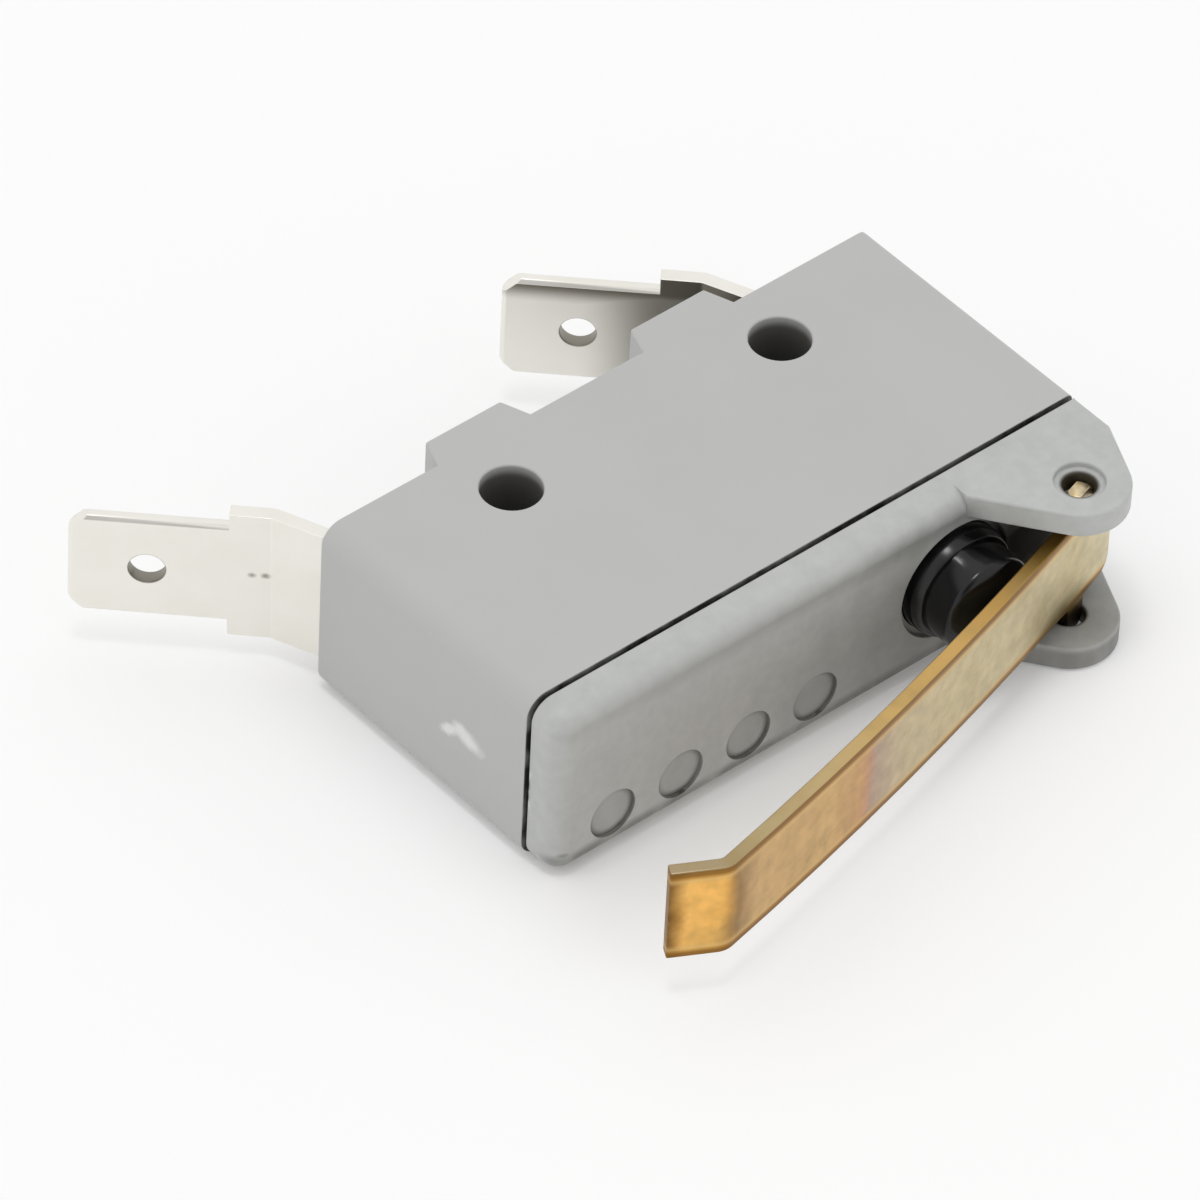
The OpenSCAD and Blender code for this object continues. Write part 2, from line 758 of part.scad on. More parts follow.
module common_terminal() {
    notch = notch_depth * sqrt(2);
    color("#d9d6cf")
        difference() {
            terminal_sheet(x_common_leg, y_arm - leg_overhang);
            tab_cuts(x_common_leg);
            for (side = [-1, 1])
                translate([
                    x_common_leg - tab_thickness / 2, y_arm,
                    z_mid + side * (arm_window + prong_width) / 2
                ])
                    rotate([0, 0, 45])
                        cube([notch, notch, prong_width + 2 * rest_clearance], center = true);
            translate([x_common_leg, y_arm, z_mid])
                cube(
                    [2 * tab_thickness, toggle_opening, toggle_width + 2 * toggle_play],
                    center = true
                );
        }
}

// Its foot is folded across the housing to carry the fixed contact
module contact_terminal() {
    fold = sheet_bend_radius;
    color("#d9d6cf")
        difference() {
            translate([x_contact_leg + foot_length, y_foot, z_mid])
                rotate([0, 0, 180])
                    bent_strip(
                        [foot_length, y_knee - y_foot, lead_length, shoulder_length + tab_length],
                        [[-90, fold], [lead_angle, fold], [tab_angle - lead_angle, fold]],
                        tab_thickness,
                        shoulder_width
                    );
            tab_cuts(x_contact_leg);
            towards_front(x_contact, y_foot + cut, z_mid)
                cylinder(d = shank_diameter, h = 2 * cut);
        }
}

module fixed_contact() {
    color("#d8d8d8")
        towards_front(x_contact, y_foot - tab_thickness / 2, z_mid)
            contact_rivet(tab_thickness);
}

module moving_contact() {
    color("#d8d8d8")
        on_arm()
            translate([arm_reach / cos(arm_lift), -arm_thickness / 2, 0])
                rotate([90, 0, 0])
                    contact_rivet(arm_thickness);
}

// Strip with a long window: its two prongs end in knife edges in the terminal
module contact_arm() {
    length = arm_reach + contact_diameter / 2 + contact_margin;
    window_end = hook_on_arm - coil_radius * 1.2;
    edge = arm_thickness / 2;
    color("#c9925c")
        on_arm()
            difference() {
                linear_extrude(arm_width, center = true)
                    polygon([
                        [0, 0], [edge, -edge], [length, -edge], [length, edge], [edge, edge]
                    ]);
                translate([-cut, -cut, -arm_window / 2])
                    cube([window_end + cut, 2 * cut, arm_window]);
                for (x = [hook_on_arm, arm_reach / cos(arm_lift)])
                    translate([x, 0, 0])
                        rotate([90, 0, 0])
                            cylinder(
                                d = x == hook_on_arm ? hook_hole_diameter : shank_diameter,
                                h = 2 * cut, center = true
                            );
            }
}

module toggle_lever() {
    color("#c2a35f")
        on_toggle()
            difference() {
                union() {
                    translate([-toggle_head_length, -arm_thickness / 2, -toggle_head_width / 2])
                        cube([toggle_head_length, arm_thickness, toggle_head_width]);
                    translate([-toggle_head_length, -arm_thickness / 2, -toggle_width / 2])
                        cube([toggle_head_length + toggle_length, arm_thickness, toggle_width]);
                }
                translate([hook_on_toggle, 0, 0])
                    rotate([90, 0, 0])
                        cylinder(d = hook_hole_diameter, h = 2 * cut, center = true);
            }
}

module toggle_spring() {
    coil_length = coil_turns * wire_diameter;
    reach = (spring_span - coil_length) / 2 + wire_diameter / 2;
    color("#8d9094")
        translate([spring_start[0], spring_start[1], z_mid])
            rotate([0, 0, spring_angle]) {
                translate([(spring_span - coil_length) / 2, 0, 0])
                    rotate([0, 90, 0])
                        rotate_extrude($fn = 24)
                            coil_section(coil_turns);
                spring_hook(reach);
                translate([spring_span, 0, 0])
                    rotate([0, 0, 180])
                        spring_hook(reach);
            }
}

housing();
cover();
plunger();
lever();
common_terminal();
contact_terminal();
fixed_contact();
moving_contact();
contact_arm();
toggle_lever();
toggle_spring();
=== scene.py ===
import bmesh
import bpy
import json
import math
from mathutils import Matrix, Vector


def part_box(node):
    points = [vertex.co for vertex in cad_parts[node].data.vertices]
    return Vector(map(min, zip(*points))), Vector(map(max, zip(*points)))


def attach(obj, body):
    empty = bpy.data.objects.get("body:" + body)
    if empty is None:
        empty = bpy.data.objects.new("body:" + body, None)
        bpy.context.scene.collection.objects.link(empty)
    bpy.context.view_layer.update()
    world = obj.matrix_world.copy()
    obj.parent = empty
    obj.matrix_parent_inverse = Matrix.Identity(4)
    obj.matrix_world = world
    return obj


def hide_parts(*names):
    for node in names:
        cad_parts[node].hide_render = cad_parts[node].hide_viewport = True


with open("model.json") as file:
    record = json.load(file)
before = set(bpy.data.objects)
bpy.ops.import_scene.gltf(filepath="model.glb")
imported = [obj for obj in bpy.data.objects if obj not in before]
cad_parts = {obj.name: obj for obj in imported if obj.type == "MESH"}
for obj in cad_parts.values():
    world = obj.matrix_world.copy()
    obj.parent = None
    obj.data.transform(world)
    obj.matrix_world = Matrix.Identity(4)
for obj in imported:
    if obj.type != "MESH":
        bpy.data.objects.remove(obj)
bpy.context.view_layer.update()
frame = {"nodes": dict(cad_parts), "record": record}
print("frame loaded with", len(frame["nodes"]), "nodes")

mm = 0.001  # Blender works in metres, the sizes below are millimetres
scene = bpy.context.scene
frontFace = -14.3  # plane of the cover's front
seamMiddle = -12.1  # middle of the joint between housing and cover
midHeight = 5.3
pivot = Vector((13.525, -16.8))  # lever pivot, seen from above
plungerX = 7.925  # the plunger points along y at half height
touching = 0.02  # a point this close to a plane or circle counts as on it
noiseSpread = (0.3, 0.7)  # most values of a noise lie in here


# Selection, welding and rounding

meshLook = {"weld": 0.002, "flatDegrees": 0.15, "sliver": 0.0005, "smoothDegrees": 40}  # lengths in millimetres


def makeActive(obj):
    if bpy.context.mode != "OBJECT":
        bpy.ops.object.mode_set(mode="OBJECT")
    bpy.ops.object.select_all(action="DESELECT")
    obj.select_set(True)
    bpy.context.view_layer.objects.active = obj


def weldedCopy(nodeName, pieceName):  # a CAD node's loose triangles, merged into clean faces
    piece = bpy.data.objects.new(pieceName, frame["nodes"][nodeName].data.copy())
    scene.collection.objects.link(piece)
    piece.data.materials.clear()
    makeActive(piece)
    bpy.ops.object.mode_set(mode="EDIT")
    bpy.ops.mesh.select_mode(type="EDGE")
    bpy.ops.mesh.select_all(action="SELECT")
    bpy.ops.mesh.remove_doubles(threshold=meshLook["weld"] * mm)
    bpy.ops.mesh.select_all(action="SELECT")
    bpy.ops.mesh.dissolve_limited(angle_limit=math.radians(meshLook["flatDegrees"]))
    bpy.ops.object.mode_set(mode="OBJECT")
    return piece


def roundEdges(piece, rounding, wanted):  # sharp outer edges whose middle, in millimetres, is wanted
    makeActive(piece)
    bpy.ops.object.mode_set(mode="EDIT")
    bpy.ops.mesh.select_mode(type="EDGE")
    bpy.ops.mesh.select_all(action="DESELECT")
    bpy.ops.mesh.edges_select_sharp(sharpness=math.radians(rounding["sharpFrom"]))
    edit = bmesh.from_edit_mesh(piece.data)
    chosen = [e for e in edit.edges
              if e.select and e.is_convex and wanted((e.verts[0].co + e.verts[1].co) / 2 / mm)]
    bpy.ops.mesh.select_all(action="DESELECT")
    for e in chosen:
        e.select_set(True)
    print(piece.name, "edges rounded:", len(chosen))
    bpy.ops.mesh.bevel(offset=rounding["edge"] * mm, segments=rounding["steps"],
                       loop_slide=False, clamp_overlap=False)
    bpy.ops.mesh.select_all(action="SELECT")
    bpy.ops.mesh.dissolve_degenerate(threshold=meshLook["sliver"] * mm)
    bpy.ops.object.mode_set(mode="OBJECT")


def smoothFaces(piece):  # large flat faces keep their own normals, rounded edges flow into them
    makeActive(piece)
    bpy.ops.object.shade_smooth_by_angle(angle=math.radians(meshLook["smoothDegrees"]))
    bpy.ops.object.modifier_add(type="WEIGHTED_NORMAL")
    piece.modifiers[-1].keep_sharp = True
    bpy.ops.object.modifier_apply(modifier=piece.modifiers[-1].name)


def dress(piece, nodeName, body, material):
    piece.data.materials.append(material)
    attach(piece, body)
    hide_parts(nodeName)


def fromPlungerAxis(p):
    return math.hypot(p.x - plungerX, p.z - midHeight)


# Tools for materials

def toLinear(hexColour):  # sRGB hex to the linear values a socket holds
    shares = [int(hexColour[i:i + 2], 16) / 255 for i in (1, 3, 5)]
    return (*[c / 12.92 if c <= 0.04045 else ((c + 0.055) / 1.055) ** 2.4 for c in shares], 1.0)


def addNode(tree, kind, links=None, values=None, **settings):  # a colour mix takes 0 share, 6 and 7, gives 2
    made = tree.nodes.new(kind)
    for key, value in settings.items():
        setattr(made, key, value)
    for key, value in (values or {}).items():
        made.inputs[key].default_value = value
    for key, source in (links or {}).items():
        tree.links.new(source, made.inputs[key])
    return made


def newMaterial(name):
    material = bpy.data.materials.new(name)
    material.use_nodes = True
    tree = material.node_tree
    tree.nodes.clear()
    shader = addNode(tree, "ShaderNodeBsdfPrincipled")
    addNode(tree, "ShaderNodeOutputMaterial", {"Surface": shader.outputs[0]})
    place = addNode(tree, "ShaderNodeTexCoord").outputs["Object"]
    return material, tree, shader, place


def per(size):  # texture scale for a pattern of that many millimetres
    return 1 / (size * mm)


def finishSurface(tree, shader, look, colour, roughBy, bumpBy):  # colour, wandering roughness, shallow relief
    tree.links.new(colour, shader.inputs["Base Color"])
    first, last = look["roughness"]
    rough = addNode(tree, "ShaderNodeMapRange", {"Value": roughBy}, {"To Min": first, "To Max": last})
    tree.links.new(rough.outputs[0], shader.inputs["Roughness"])
    strength, depth = look["bump"]
    bump = addNode(tree, "ShaderNodeBump", {"Height": bumpBy}, {"Strength": strength, "Distance": depth * mm})
    tree.links.new(bump.outputs[0], shader.inputs["Normal"])


def setStops(ramp, stops):  # stops as (share of the way, linear colour)
    while len(ramp.elements) < len(stops):
        ramp.elements.new(1.0)
    for element, (share, colour) in zip(ramp.elements, stops):
        element.position = share
        element.color = colour


# noise in a patch's outline, where the patch starts, and how its rim fades
spotLook = {"detail": 3.0, "raggedness": 0.6, "startsAt": 0.42, "fadeIn": 0.15}


def spotMask(tree, place, spot):  # 1 inside a ragged patch, sizes in millimetres
    local = addNode(tree, "ShaderNodeMapping", {"Vector": place},
                    {"Location": [c * mm for c in spot["at"]],
                     "Rotation": [math.radians(a) for a in spot.get("turn", (0, 0, 0))],
                     "Scale": [h * mm for h in spot["half"]]}, vector_type="TEXTURE")
    fall = addNode(tree, "ShaderNodeTexGradient", {"Vector": local.outputs[0]}, gradient_type="SPHERICAL")
    rag = addNode(tree, "ShaderNodeTexNoise", {"Vector": place},
                  {"Scale": per(spot["ragged"]), "Detail": spotLook["detail"]})
    both = addNode(tree, "ShaderNodeMath", {0: rag.outputs["Fac"], 2: fall.outputs["Fac"]},
                   {1: spotLook["raggedness"]}, operation="MULTIPLY_ADD")
    mask = addNode(tree, "ShaderNodeMapRange", {"Value": both.outputs[0]},
                   {"From Min": spotLook["startsAt"], "From Max": spotLook["startsAt"] + spot["soft"]})
    within = addNode(tree, "ShaderNodeMapRange", {"Value": fall.outputs["Fac"]}, {"From Max": spotLook["fadeIn"]})
    return addNode(tree, "ShaderNodeMath", {0: mask.outputs[0], 1: within.outputs[0]},
                   operation="MULTIPLY").outputs[0]


# the joint of housing and cover: softened edges, and dirt within a small distance of its middle
seamLook = {
    "rounding": {"edge": 0.05, "steps": 2, "sharpFrom": 35},
    "grime": "#2f2e2c", "reach": (0.15, 0.11), "patch": 1.6, "patchEdges": (0.36, 0.6), "least": 0.6,
}


def seamGrime(tree, place):  # dirt caught along the joint, uneven along its length
    axes = addNode(tree, "ShaderNodeSeparateXYZ", {"Vector": place})
    away = addNode(tree, "ShaderNodeMath", {0: axes.outputs["Y"]}, {1: seamMiddle * mm}, operation="SUBTRACT")
    away = addNode(tree, "ShaderNodeMath", {0: away.outputs[0]}, operation="ABSOLUTE")
    outer, inner = seamLook["reach"]
    near = addNode(tree, "ShaderNodeMapRange", {"Value": away.outputs[0]},
                   {"From Min": outer * mm, "From Max": inner * mm})
    blot = addNode(tree, "ShaderNodeTexNoise", {"Vector": place}, {"Scale": per(seamLook["patch"]), "Detail": 3.0})
    least, most = seamLook["patchEdges"]
    blot = addNode(tree, "ShaderNodeMapRange", {"Value": blot.outputs["Fac"]},
                   {"From Min": least, "From Max": most, "To Min": seamLook["least"]})
    return addNode(tree, "ShaderNodeMath", {0: near.outputs[0], 1: blot.outputs[0]},
                   operation="MULTIPLY").outputs[0]


# Housing

housingLook = {
    "rounding": {"edge": 0.12, "steps": 3, "sharpFrom": 35}, "outerBand": 0.7, "seamBand": 0.1, "backFrom": 3.4,
    "pale": "#bbbbba", "deep": "#b4b4b3", "cloud": 7.0, "grain": 0.22,
    "roughness": (0.42, 0.56), "bump": (0.25, 0.012),
    # mounting holes: painted shade on their walls and a little beyond them, clean to dark by the distance from half
    # height
    "holeX": 8.725, "holeRadius": 1.6, "boreShade": "#63625e", "boreEdge": (0.1, 0.02), "boreLevels": (5.2, 4.5),
    # rubbed flakes on the contact end
    "scuff": "#dfdfde",
    "flakes": [
        {"at": (-17.88, -7.9, 4.88), "half": (0.5, 1.6, 0.75), "turn": (8, 0, 0), "ragged": 0.7, "soft": 0.6},
        {"at": (-17.88, -7.2, 5.15), "half": (0.5, 0.9, 0.6), "turn": (-20, 0, 0), "ragged": 0.5, "soft": 0.6},
        {"at": (-17.88, -6.4, 4.55), "half": (0.5, 1.0, 0.5), "turn": (-30, 0, 0), "ragged": 0.5, "soft": 0.5},
    ],
}


def mouldedNylonGrey():  # glass-filled nylon from a spark-eroded mould: satin, faintly cloudy, fine even grain
    look = housingLook
    material, tree, shader, place = newMaterial("nylonMouldedGrey")
    cloud = addNode(tree, "ShaderNodeTexNoise", {"Vector": place}, {"Scale": per(look["cloud"]), "Detail": 4.0})
    grain = addNode(tree, "ShaderNodeTexNoise", {"Vector": place}, {"Scale": per(look["grain"]), "Detail": 2.0})
    colour = addNode(tree, "ShaderNodeMix", {0: cloud.outputs["Fac"]},
                     {6: toLinear(look["deep"]), 7: toLinear(look["pale"])}, data_type="RGBA")
    for spot in look["flakes"]:
        colour = addNode(tree, "ShaderNodeMix", {0: spotMask(tree, place, spot), 6: colour.outputs[2]},
                         {7: toLinear(look["scuff"])}, data_type="RGBA")
    colour = addNode(tree, "ShaderNodeMix", {0: seamGrime(tree, place), 6: colour.outputs[2]},
                     {7: toLinear(seamLook["grime"])}, data_type="RGBA")
    # painted shade in the bores of both mounting holes, from a little below the rim
    axes = addNode(tree, "ShaderNodeSeparateXYZ", {"Vector": place})
    across = addNode(tree, "ShaderNodeMath", {0: axes.outputs["X"]}, operation="ABSOLUTE")
    across = addNode(tree, "ShaderNodeMath", {0: across.outputs[0]}, {1: look["holeX"] * mm}, operation="SUBTRACT")
    away = addNode(tree, "ShaderNodeCombineXYZ", {"X": across.outputs[0], "Y": axes.outputs["Y"]})
    away = addNode(tree, "ShaderNodeVectorMath", {0: away.outputs[0]}, operation="LENGTH")
    outer, inner = [(look["holeRadius"] + extra) * mm for extra in look["boreEdge"]]
    inBore = addNode(tree, "ShaderNodeMapRange", {"Value": away.outputs["Value"]},
                     {"From Min": outer, "From Max": inner})
    level = addNode(tree, "ShaderNodeMath", {0: axes.outputs["Z"]}, {1: midHeight * mm}, operation="SUBTRACT")
    level = addNode(tree, "ShaderNodeMath", {0: level.outputs[0]}, operation="ABSOLUTE")
    clean, dark = look["boreLevels"]
    below = addNode(tree, "ShaderNodeMapRange", {"Value": level.outputs[0]},
                    {"From Min": clean * mm, "From Max": dark * mm}, interpolation_type="SMOOTHSTEP")
    paintedBoreShade = addNode(tree, "ShaderNodeMath", {0: inBore.outputs[0], 1: below.outputs[0]}, operation="MULTIPLY")
    colour = addNode(tree, "ShaderNodeMix", {0: paintedBoreShade.outputs[0], 6: colour.outputs[2]},
                     {7: toLinear(look["boreShade"])}, data_type="RGBA")
    finishSurface(tree, shader, look, colour.outputs[2], cloud.outputs["Fac"], grain.outputs["Fac"])
    return material


low, high = [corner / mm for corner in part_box("housing")]


def insideOutline(p):  # distance to the nearest end or broad face
    return min(p.x - low.x, high.x - p.x, p.z - low.z, high.z - p.z)


def onSeamOutside(p):
    return abs(p.y - low.y) < touching and insideOutline(p) < housingLook["outerBand"]


def onHousingOutside(p):
    outside = insideOutline(p) < housingLook["outerBand"] and p.y > low.y + housingLook["seamBand"]
    return outside or p.y > housingLook["backFrom"]


housing = weldedCopy("housing", "housingShell")
roundEdges(housing, seamLook["rounding"], onSeamOutside)
roundEdges(housing, housingLook["rounding"], onHousingOutside)
smoothFaces(housing)
dress(housing, "housing", "case", mouldedNylonGrey())
print("housing done")

# Cover with its ears

coverLook = {
    "rounding": {"edge": 0.12, "steps": 3, "sharpFrom": 35}, "leverEnd": 17.2, "seamBand": 0.2,
    "ringRounding": {"edge": 0.06, "steps": 2, "sharpFrom": 35}, "ringRadius": 3.45,
    "markRounding": {"edge": 0.035, "steps": 2, "sharpFrom": 35}, "markBand": (1.4, 4.2), "markEnd": 1.5, "near": 0.05,
    # back edge of the cover, and where its outline begins along x and z
    "back": -12.2, "outlineX": (-17.2, 16.8), "outlineZ": (0.7, 9.9),
    "pale": "#bfc0be", "deep": "#b1b3b1", "streak": (1.6, 6.0, 9.0), "grain": 0.2,
    "mottle": 0.6, "mottleTone": (0.955, 1.04), "roughness": (0.38, 0.55), "bump": (0.3, 0.012),
    # dirt and painted shade: a speck at the lower corner, painted shade between the ears and on the lower ear, below
    # the front's upper edge in two patches and below the plunger, then two chips and two thick bits of grime at the
    # upright end of the joint
    "dirtAndShade": [
        {"tone": "#7c7c79", "at": (-17.07, -13.9, 1.46), "half": (0.4, 0.9, 0.24), "ragged": 0.3, "soft": 0.8},
        {"tone": "#262422", "at": (12.8, -14.3, 5.4), "half": (5.0, 3.4, 4.6), "ragged": 1.2, "soft": 0.6},
        {"tone": "#6e6b64", "at": (13.5, -17.0, 1.3), "half": (6.0, 5.0, 2.6), "ragged": 1.5, "soft": 1.6},
        {"tone": "#5f605e", "at": (-3.5, -14.3, 9.45), "half": (22.0, 1.2, 0.95), "ragged": 1.2, "soft": 3.4},
        {"tone": "#5f605e", "at": (7.5, -14.3, 9.3), "half": (9.0, 1.2, 1.3), "ragged": 1.0, "soft": 1.6},
        {"tone": "#6f7070", "at": (4.0, -14.3, 1.4), "half": (12.0, 1.4, 10.0), "ragged": 1.8, "soft": 1.5},
        {"tone": "#c8c8c3", "at": (-17.7, -12.3, 5.9), "half": (0.5, 0.2, 0.36), "turn": (20, 0, 0),
         "ragged": 0.15, "soft": 0.5},
        {"tone": "#c8c8c3", "at": (-17.7, -12.3, 3.9), "half": (0.5, 0.2, 0.5), "turn": (-10, 0, 0),
         "ragged": 0.15, "soft": 0.5},
        {"tone": "#4a4946", "at": (-17.7, -12.18, 5.2), "half": (0.5, 0.2, 0.6), "ragged": 0.15, "soft": 0.5},
        {"tone": "#4a4946", "at": (-17.7, -12.18, 4.4), "half": (0.5, 0.18, 0.4), "ragged": 0.15, "soft": 0.5},
    ],
    # row of round mould marks: first one, distance, height, radius, the row's middle and half length
    "markX": -14.075, "markPitch": 4.35, "markZ": 2.6, "markRadius": 1.4, "rowMiddle": -7.55, "rowHalf": 8.1,
    # darker rims of the mould marks: width of the rim, share in the middle, and how patchy it is
    "markRimTone": "#666762", "darkRimWidth": 0.35, "darkMiddleShare": 0.25, "patchEdges": (0.3, 0.6), "patchShares": (0.45, 0.9),
    # painted shade on the lower rim of the front, by height and by depth
    "lowEdgeShade": "#62615d", "lowHeights": (1.65, 1.05), "lowShare": 0.8, "lowDepths": (-13.0, -13.8),
    # bores for the lever's pins, and how far the painted shade in them reaches past the wall
    "boreRadius": 0.85, "mouth": "#3d372c", "mouthEdge": (0.25, 0.02),
}


def mouldedPolyesterGrey():  # polyester moulding, as grey as the housing, with upright flow streaks on the front
    look = coverLook
    material, tree, shader, place = newMaterial("polyesterMouldedGrey")
    flow = addNode(tree, "ShaderNodeMapping", {"Vector": place}, {"Scale": [per(s) for s in look["streak"]]})
    streak = addNode(tree, "ShaderNodeTexNoise", {"Vector": flow.outputs[0]}, {"Scale": 1.0, "Detail": 3.0})
    grain = addNode(tree, "ShaderNodeTexNoise", {"Vector": place}, {"Scale": per(look["grain"]), "Detail": 2.0})
    colour = addNode(tree, "ShaderNodeMix", {0: streak.outputs["Fac"]},
                     {6: toLinear(look["deep"]), 7: toLinear(look["pale"])}, data_type="RGBA")
    for spot in look["dirtAndShade"]:
        colour = addNode(tree, "ShaderNodeMix", {0: spotMask(tree, place, spot), 6: colour.outputs[2]},
                         {7: toLinear(spot["tone"])}, data_type="RGBA")
    # blotches under a millimetre wide, as handling leaves on plastic
    mottle = addNode(tree, "ShaderNodeTexNoise", {"Vector": place}, {"Scale": per(look["mottle"]), "Detail": 4.0})
    mottle = addNode(tree, "ShaderNodeMapRange", {"Value": mottle.outputs["Fac"]},
                     {"From Min": noiseSpread[0], "From Max": noiseSpread[1],
                      "To Min": look["mottleTone"][0], "To Max": look["mottleTone"][1]})
    colour = addNode(tree, "ShaderNodeMix", {6: colour.outputs[2], 7: mottle.outputs[0]}, {0: 1.0},
                     data_type="RGBA", blend_type="MULTIPLY")
    # the mould marks, which lie at an even distance, are darker at their rims
    axes = addNode(tree, "ShaderNodeSeparateXYZ", {"Vector": place})
    halfPitch = look["markPitch"] / 2 * mm
    beside = addNode(tree, "ShaderNodeMath", {0: axes.outputs["X"]}, {1: look["markX"] * mm}, operation="SUBTRACT")
    beside = addNode(tree, "ShaderNodeMath", {0: beside.outputs[0]}, {1: halfPitch, 2: -halfPitch}, operation="WRAP")
    above = addNode(tree, "ShaderNodeMath", {0: axes.outputs["Z"]}, {1: look["markZ"] * mm}, operation="SUBTRACT")
    away = addNode(tree, "ShaderNodeCombineXYZ", {"X": beside.outputs[0], "Y": above.outputs[0]})
    away = addNode(tree, "ShaderNodeVectorMath", {0: away.outputs[0]}, operation="LENGTH")
    rim = addNode(tree, "ShaderNodeMapRange", {"Value": away.outputs["Value"]},
                  {"From Min": (look["markRadius"] - look["darkRimWidth"]) * mm, "From Max": look["markRadius"] * mm,
                   "To Min": look["darkMiddleShare"]})
    inside = addNode(tree, "ShaderNodeMath", {0: away.outputs["Value"]}, {1: (look["markRadius"] + touching) * mm},
                     operation="LESS_THAN")
    inRow = addNode(tree, "ShaderNodeMath", {0: axes.outputs["X"]},
                    {1: look["rowMiddle"] * mm, 2: look["rowHalf"] * mm}, operation="COMPARE")
    rimDark = addNode(tree, "ShaderNodeMath", {0: rim.outputs[0], 1: inside.outputs[0]}, operation="MULTIPLY")
    rimDark = addNode(tree, "ShaderNodeMath", {0: rimDark.outputs[0], 1: inRow.outputs[0]}, operation="MULTIPLY")
    patchy = addNode(tree, "ShaderNodeMapRange", {"Value": streak.outputs["Fac"]},
                     {"From Min": look["patchEdges"][0], "From Max": look["patchEdges"][1],
                      "To Min": look["patchShares"][0], "To Max": look["patchShares"][1]})
    rimDark = addNode(tree, "ShaderNodeMath", {0: rimDark.outputs[0], 1: patchy.outputs[0]}, operation="MULTIPLY")
    colour = addNode(tree, "ShaderNodeMix", {0: rimDark.outputs[0], 6: colour.outputs[2]},
                     {7: toLinear(look["markRimTone"])}, data_type="RGBA")
    colour = addNode(tree, "ShaderNodeMix", {0: seamGrime(tree, place), 6: colour.outputs[2]},
                     {7: toLinear(seamLook["grime"])}, data_type="RGBA")
    # painted shade along the lower edge of the front
    clean, dirty = [z * mm for z in look["lowHeights"]]
    lowEdgeShadeMask = addNode(tree, "ShaderNodeMapRange", {"Value": axes.outputs["Z"]},
                     {"From Min": clean, "From Max": dirty, "To Max": look["lowShare"]},
                     interpolation_type="SMOOTHSTEP")
    lowEdgeShadeMask = addNode(tree, "ShaderNodeMath", {0: lowEdgeShadeMask.outputs[0], 1: patchy.outputs[0]}, operation="MULTIPLY")
    clean, dirty = [y * mm for y in look["lowDepths"]]
    ahead = addNode(tree, "ShaderNodeMapRange", {"Value": axes.outputs["Y"]}, {"From Min": clean, "From Max": dirty})
    lowEdgeShadeMask = addNode(tree, "ShaderNodeMath", {0: lowEdgeShadeMask.outputs[0], 1: ahead.outputs[0]}, operation="MULTIPLY")
    colour = addNode(tree, "ShaderNodeMix", {0: lowEdgeShadeMask.outputs[0], 6: colour.outputs[2]},
                     {7: toLinear(look["lowEdgeShade"])}, data_type="RGBA")
    # painted shade, brown, in the bores that the lever's pins turn in
    local = addNode(tree, "ShaderNodeMapping", {"Vector": place},
                    {"Location": (-pivot.x * mm, -pivot.y * mm, 0), "Scale": (1, 1, 0)})
    away = addNode(tree, "ShaderNodeVectorMath", {0: local.outputs[0]}, operation="LENGTH")
    outer, inner = [(look["boreRadius"] + extra) * mm for extra in look["mouthEdge"]]
    mouth = addNode(tree, "ShaderNodeMapRange", {"Value": away.outputs["Value"]},
                    {"From Min": outer, "From Max": inner}, interpolation_type="SMOOTHSTEP")
    colour = addNode(tree, "ShaderNodeMix", {0: mouth.outputs[0], 6: colour.outputs[2]},
                     {7: toLinear(look["mouth"])}, data_type="RGBA")
    finishSurface(tree, shader, look, colour.outputs[2], streak.outputs["Fac"], grain.outputs["Fac"])
    return material


def onCoverBack(p):
    lowX, highX = coverLook["outlineX"]
    lowZ, highZ = coverLook["outlineZ"]
    onOutline = p.x < lowX or p.x > highX or p.z < lowZ or p.z > highZ
    return abs(p.y - coverLook["back"]) < touching and onOutline


def onEars(p):
    pastEnd = p.x > coverLook["leverEnd"] and p.y < seamMiddle - coverLook["seamBand"]
    return p.y < frontFace - touching or pastEnd


def onRing(p):  # the sunk ring round the plunger
    return (abs(p.y - frontFace) < touching
            and abs(fromPlungerAxis(p) - coverLook["ringRadius"]) < coverLook["near"])


def onMarks(p):
    bottom, top = coverLook["markBand"]
    return abs(p.y - frontFace) < coverLook["near"] and bottom < p.z < top and p.x < coverLook["markEnd"]


cover = weldedCopy("cover", "coverFront")
roundEdges(cover, seamLook["rounding"], onCoverBack)
roundEdges(cover, coverLook["rounding"], onEars)
roundEdges(cover, coverLook["ringRounding"], onRing)
roundEdges(cover, coverLook["markRounding"], onMarks)
smoothFaces(cover)
dress(cover, "cover", "case", mouldedPolyesterGrey())
print("cover done")

# Plunger

plungerLook = {
    "capRounding": {"edge": 0.2, "steps": 4, "sharpFrom": 30}, "capRadius": 2.75, "capEnd": -15.55,
    "collarRounding": {"edge": 0.07, "steps": 3, "sharpFrom": 12}, "collarRadius": 3.1, "collarEdge": -14.95,
    "collarRoot": -14.2, "radiusBand": 0.1, "taper": 0.4,
    # the rim inside the cover gets a chamfer, which clears the toggle spring at full press
    "flangeChamfer": {"edge": 0.25, "steps": 1, "sharpFrom": 30}, "flangeBack": -11.6, "flangeFrom": 3.3,
    "black": "#080809", "rubbed": "#1b1b1c", "patch": 1.6, "rubbedFrom": (0.45, 0.75), "grain": 0.18,
    "specular": 0.42, "roughness": (0.14, 0.26), "bump": (0.15, 0.01),
}


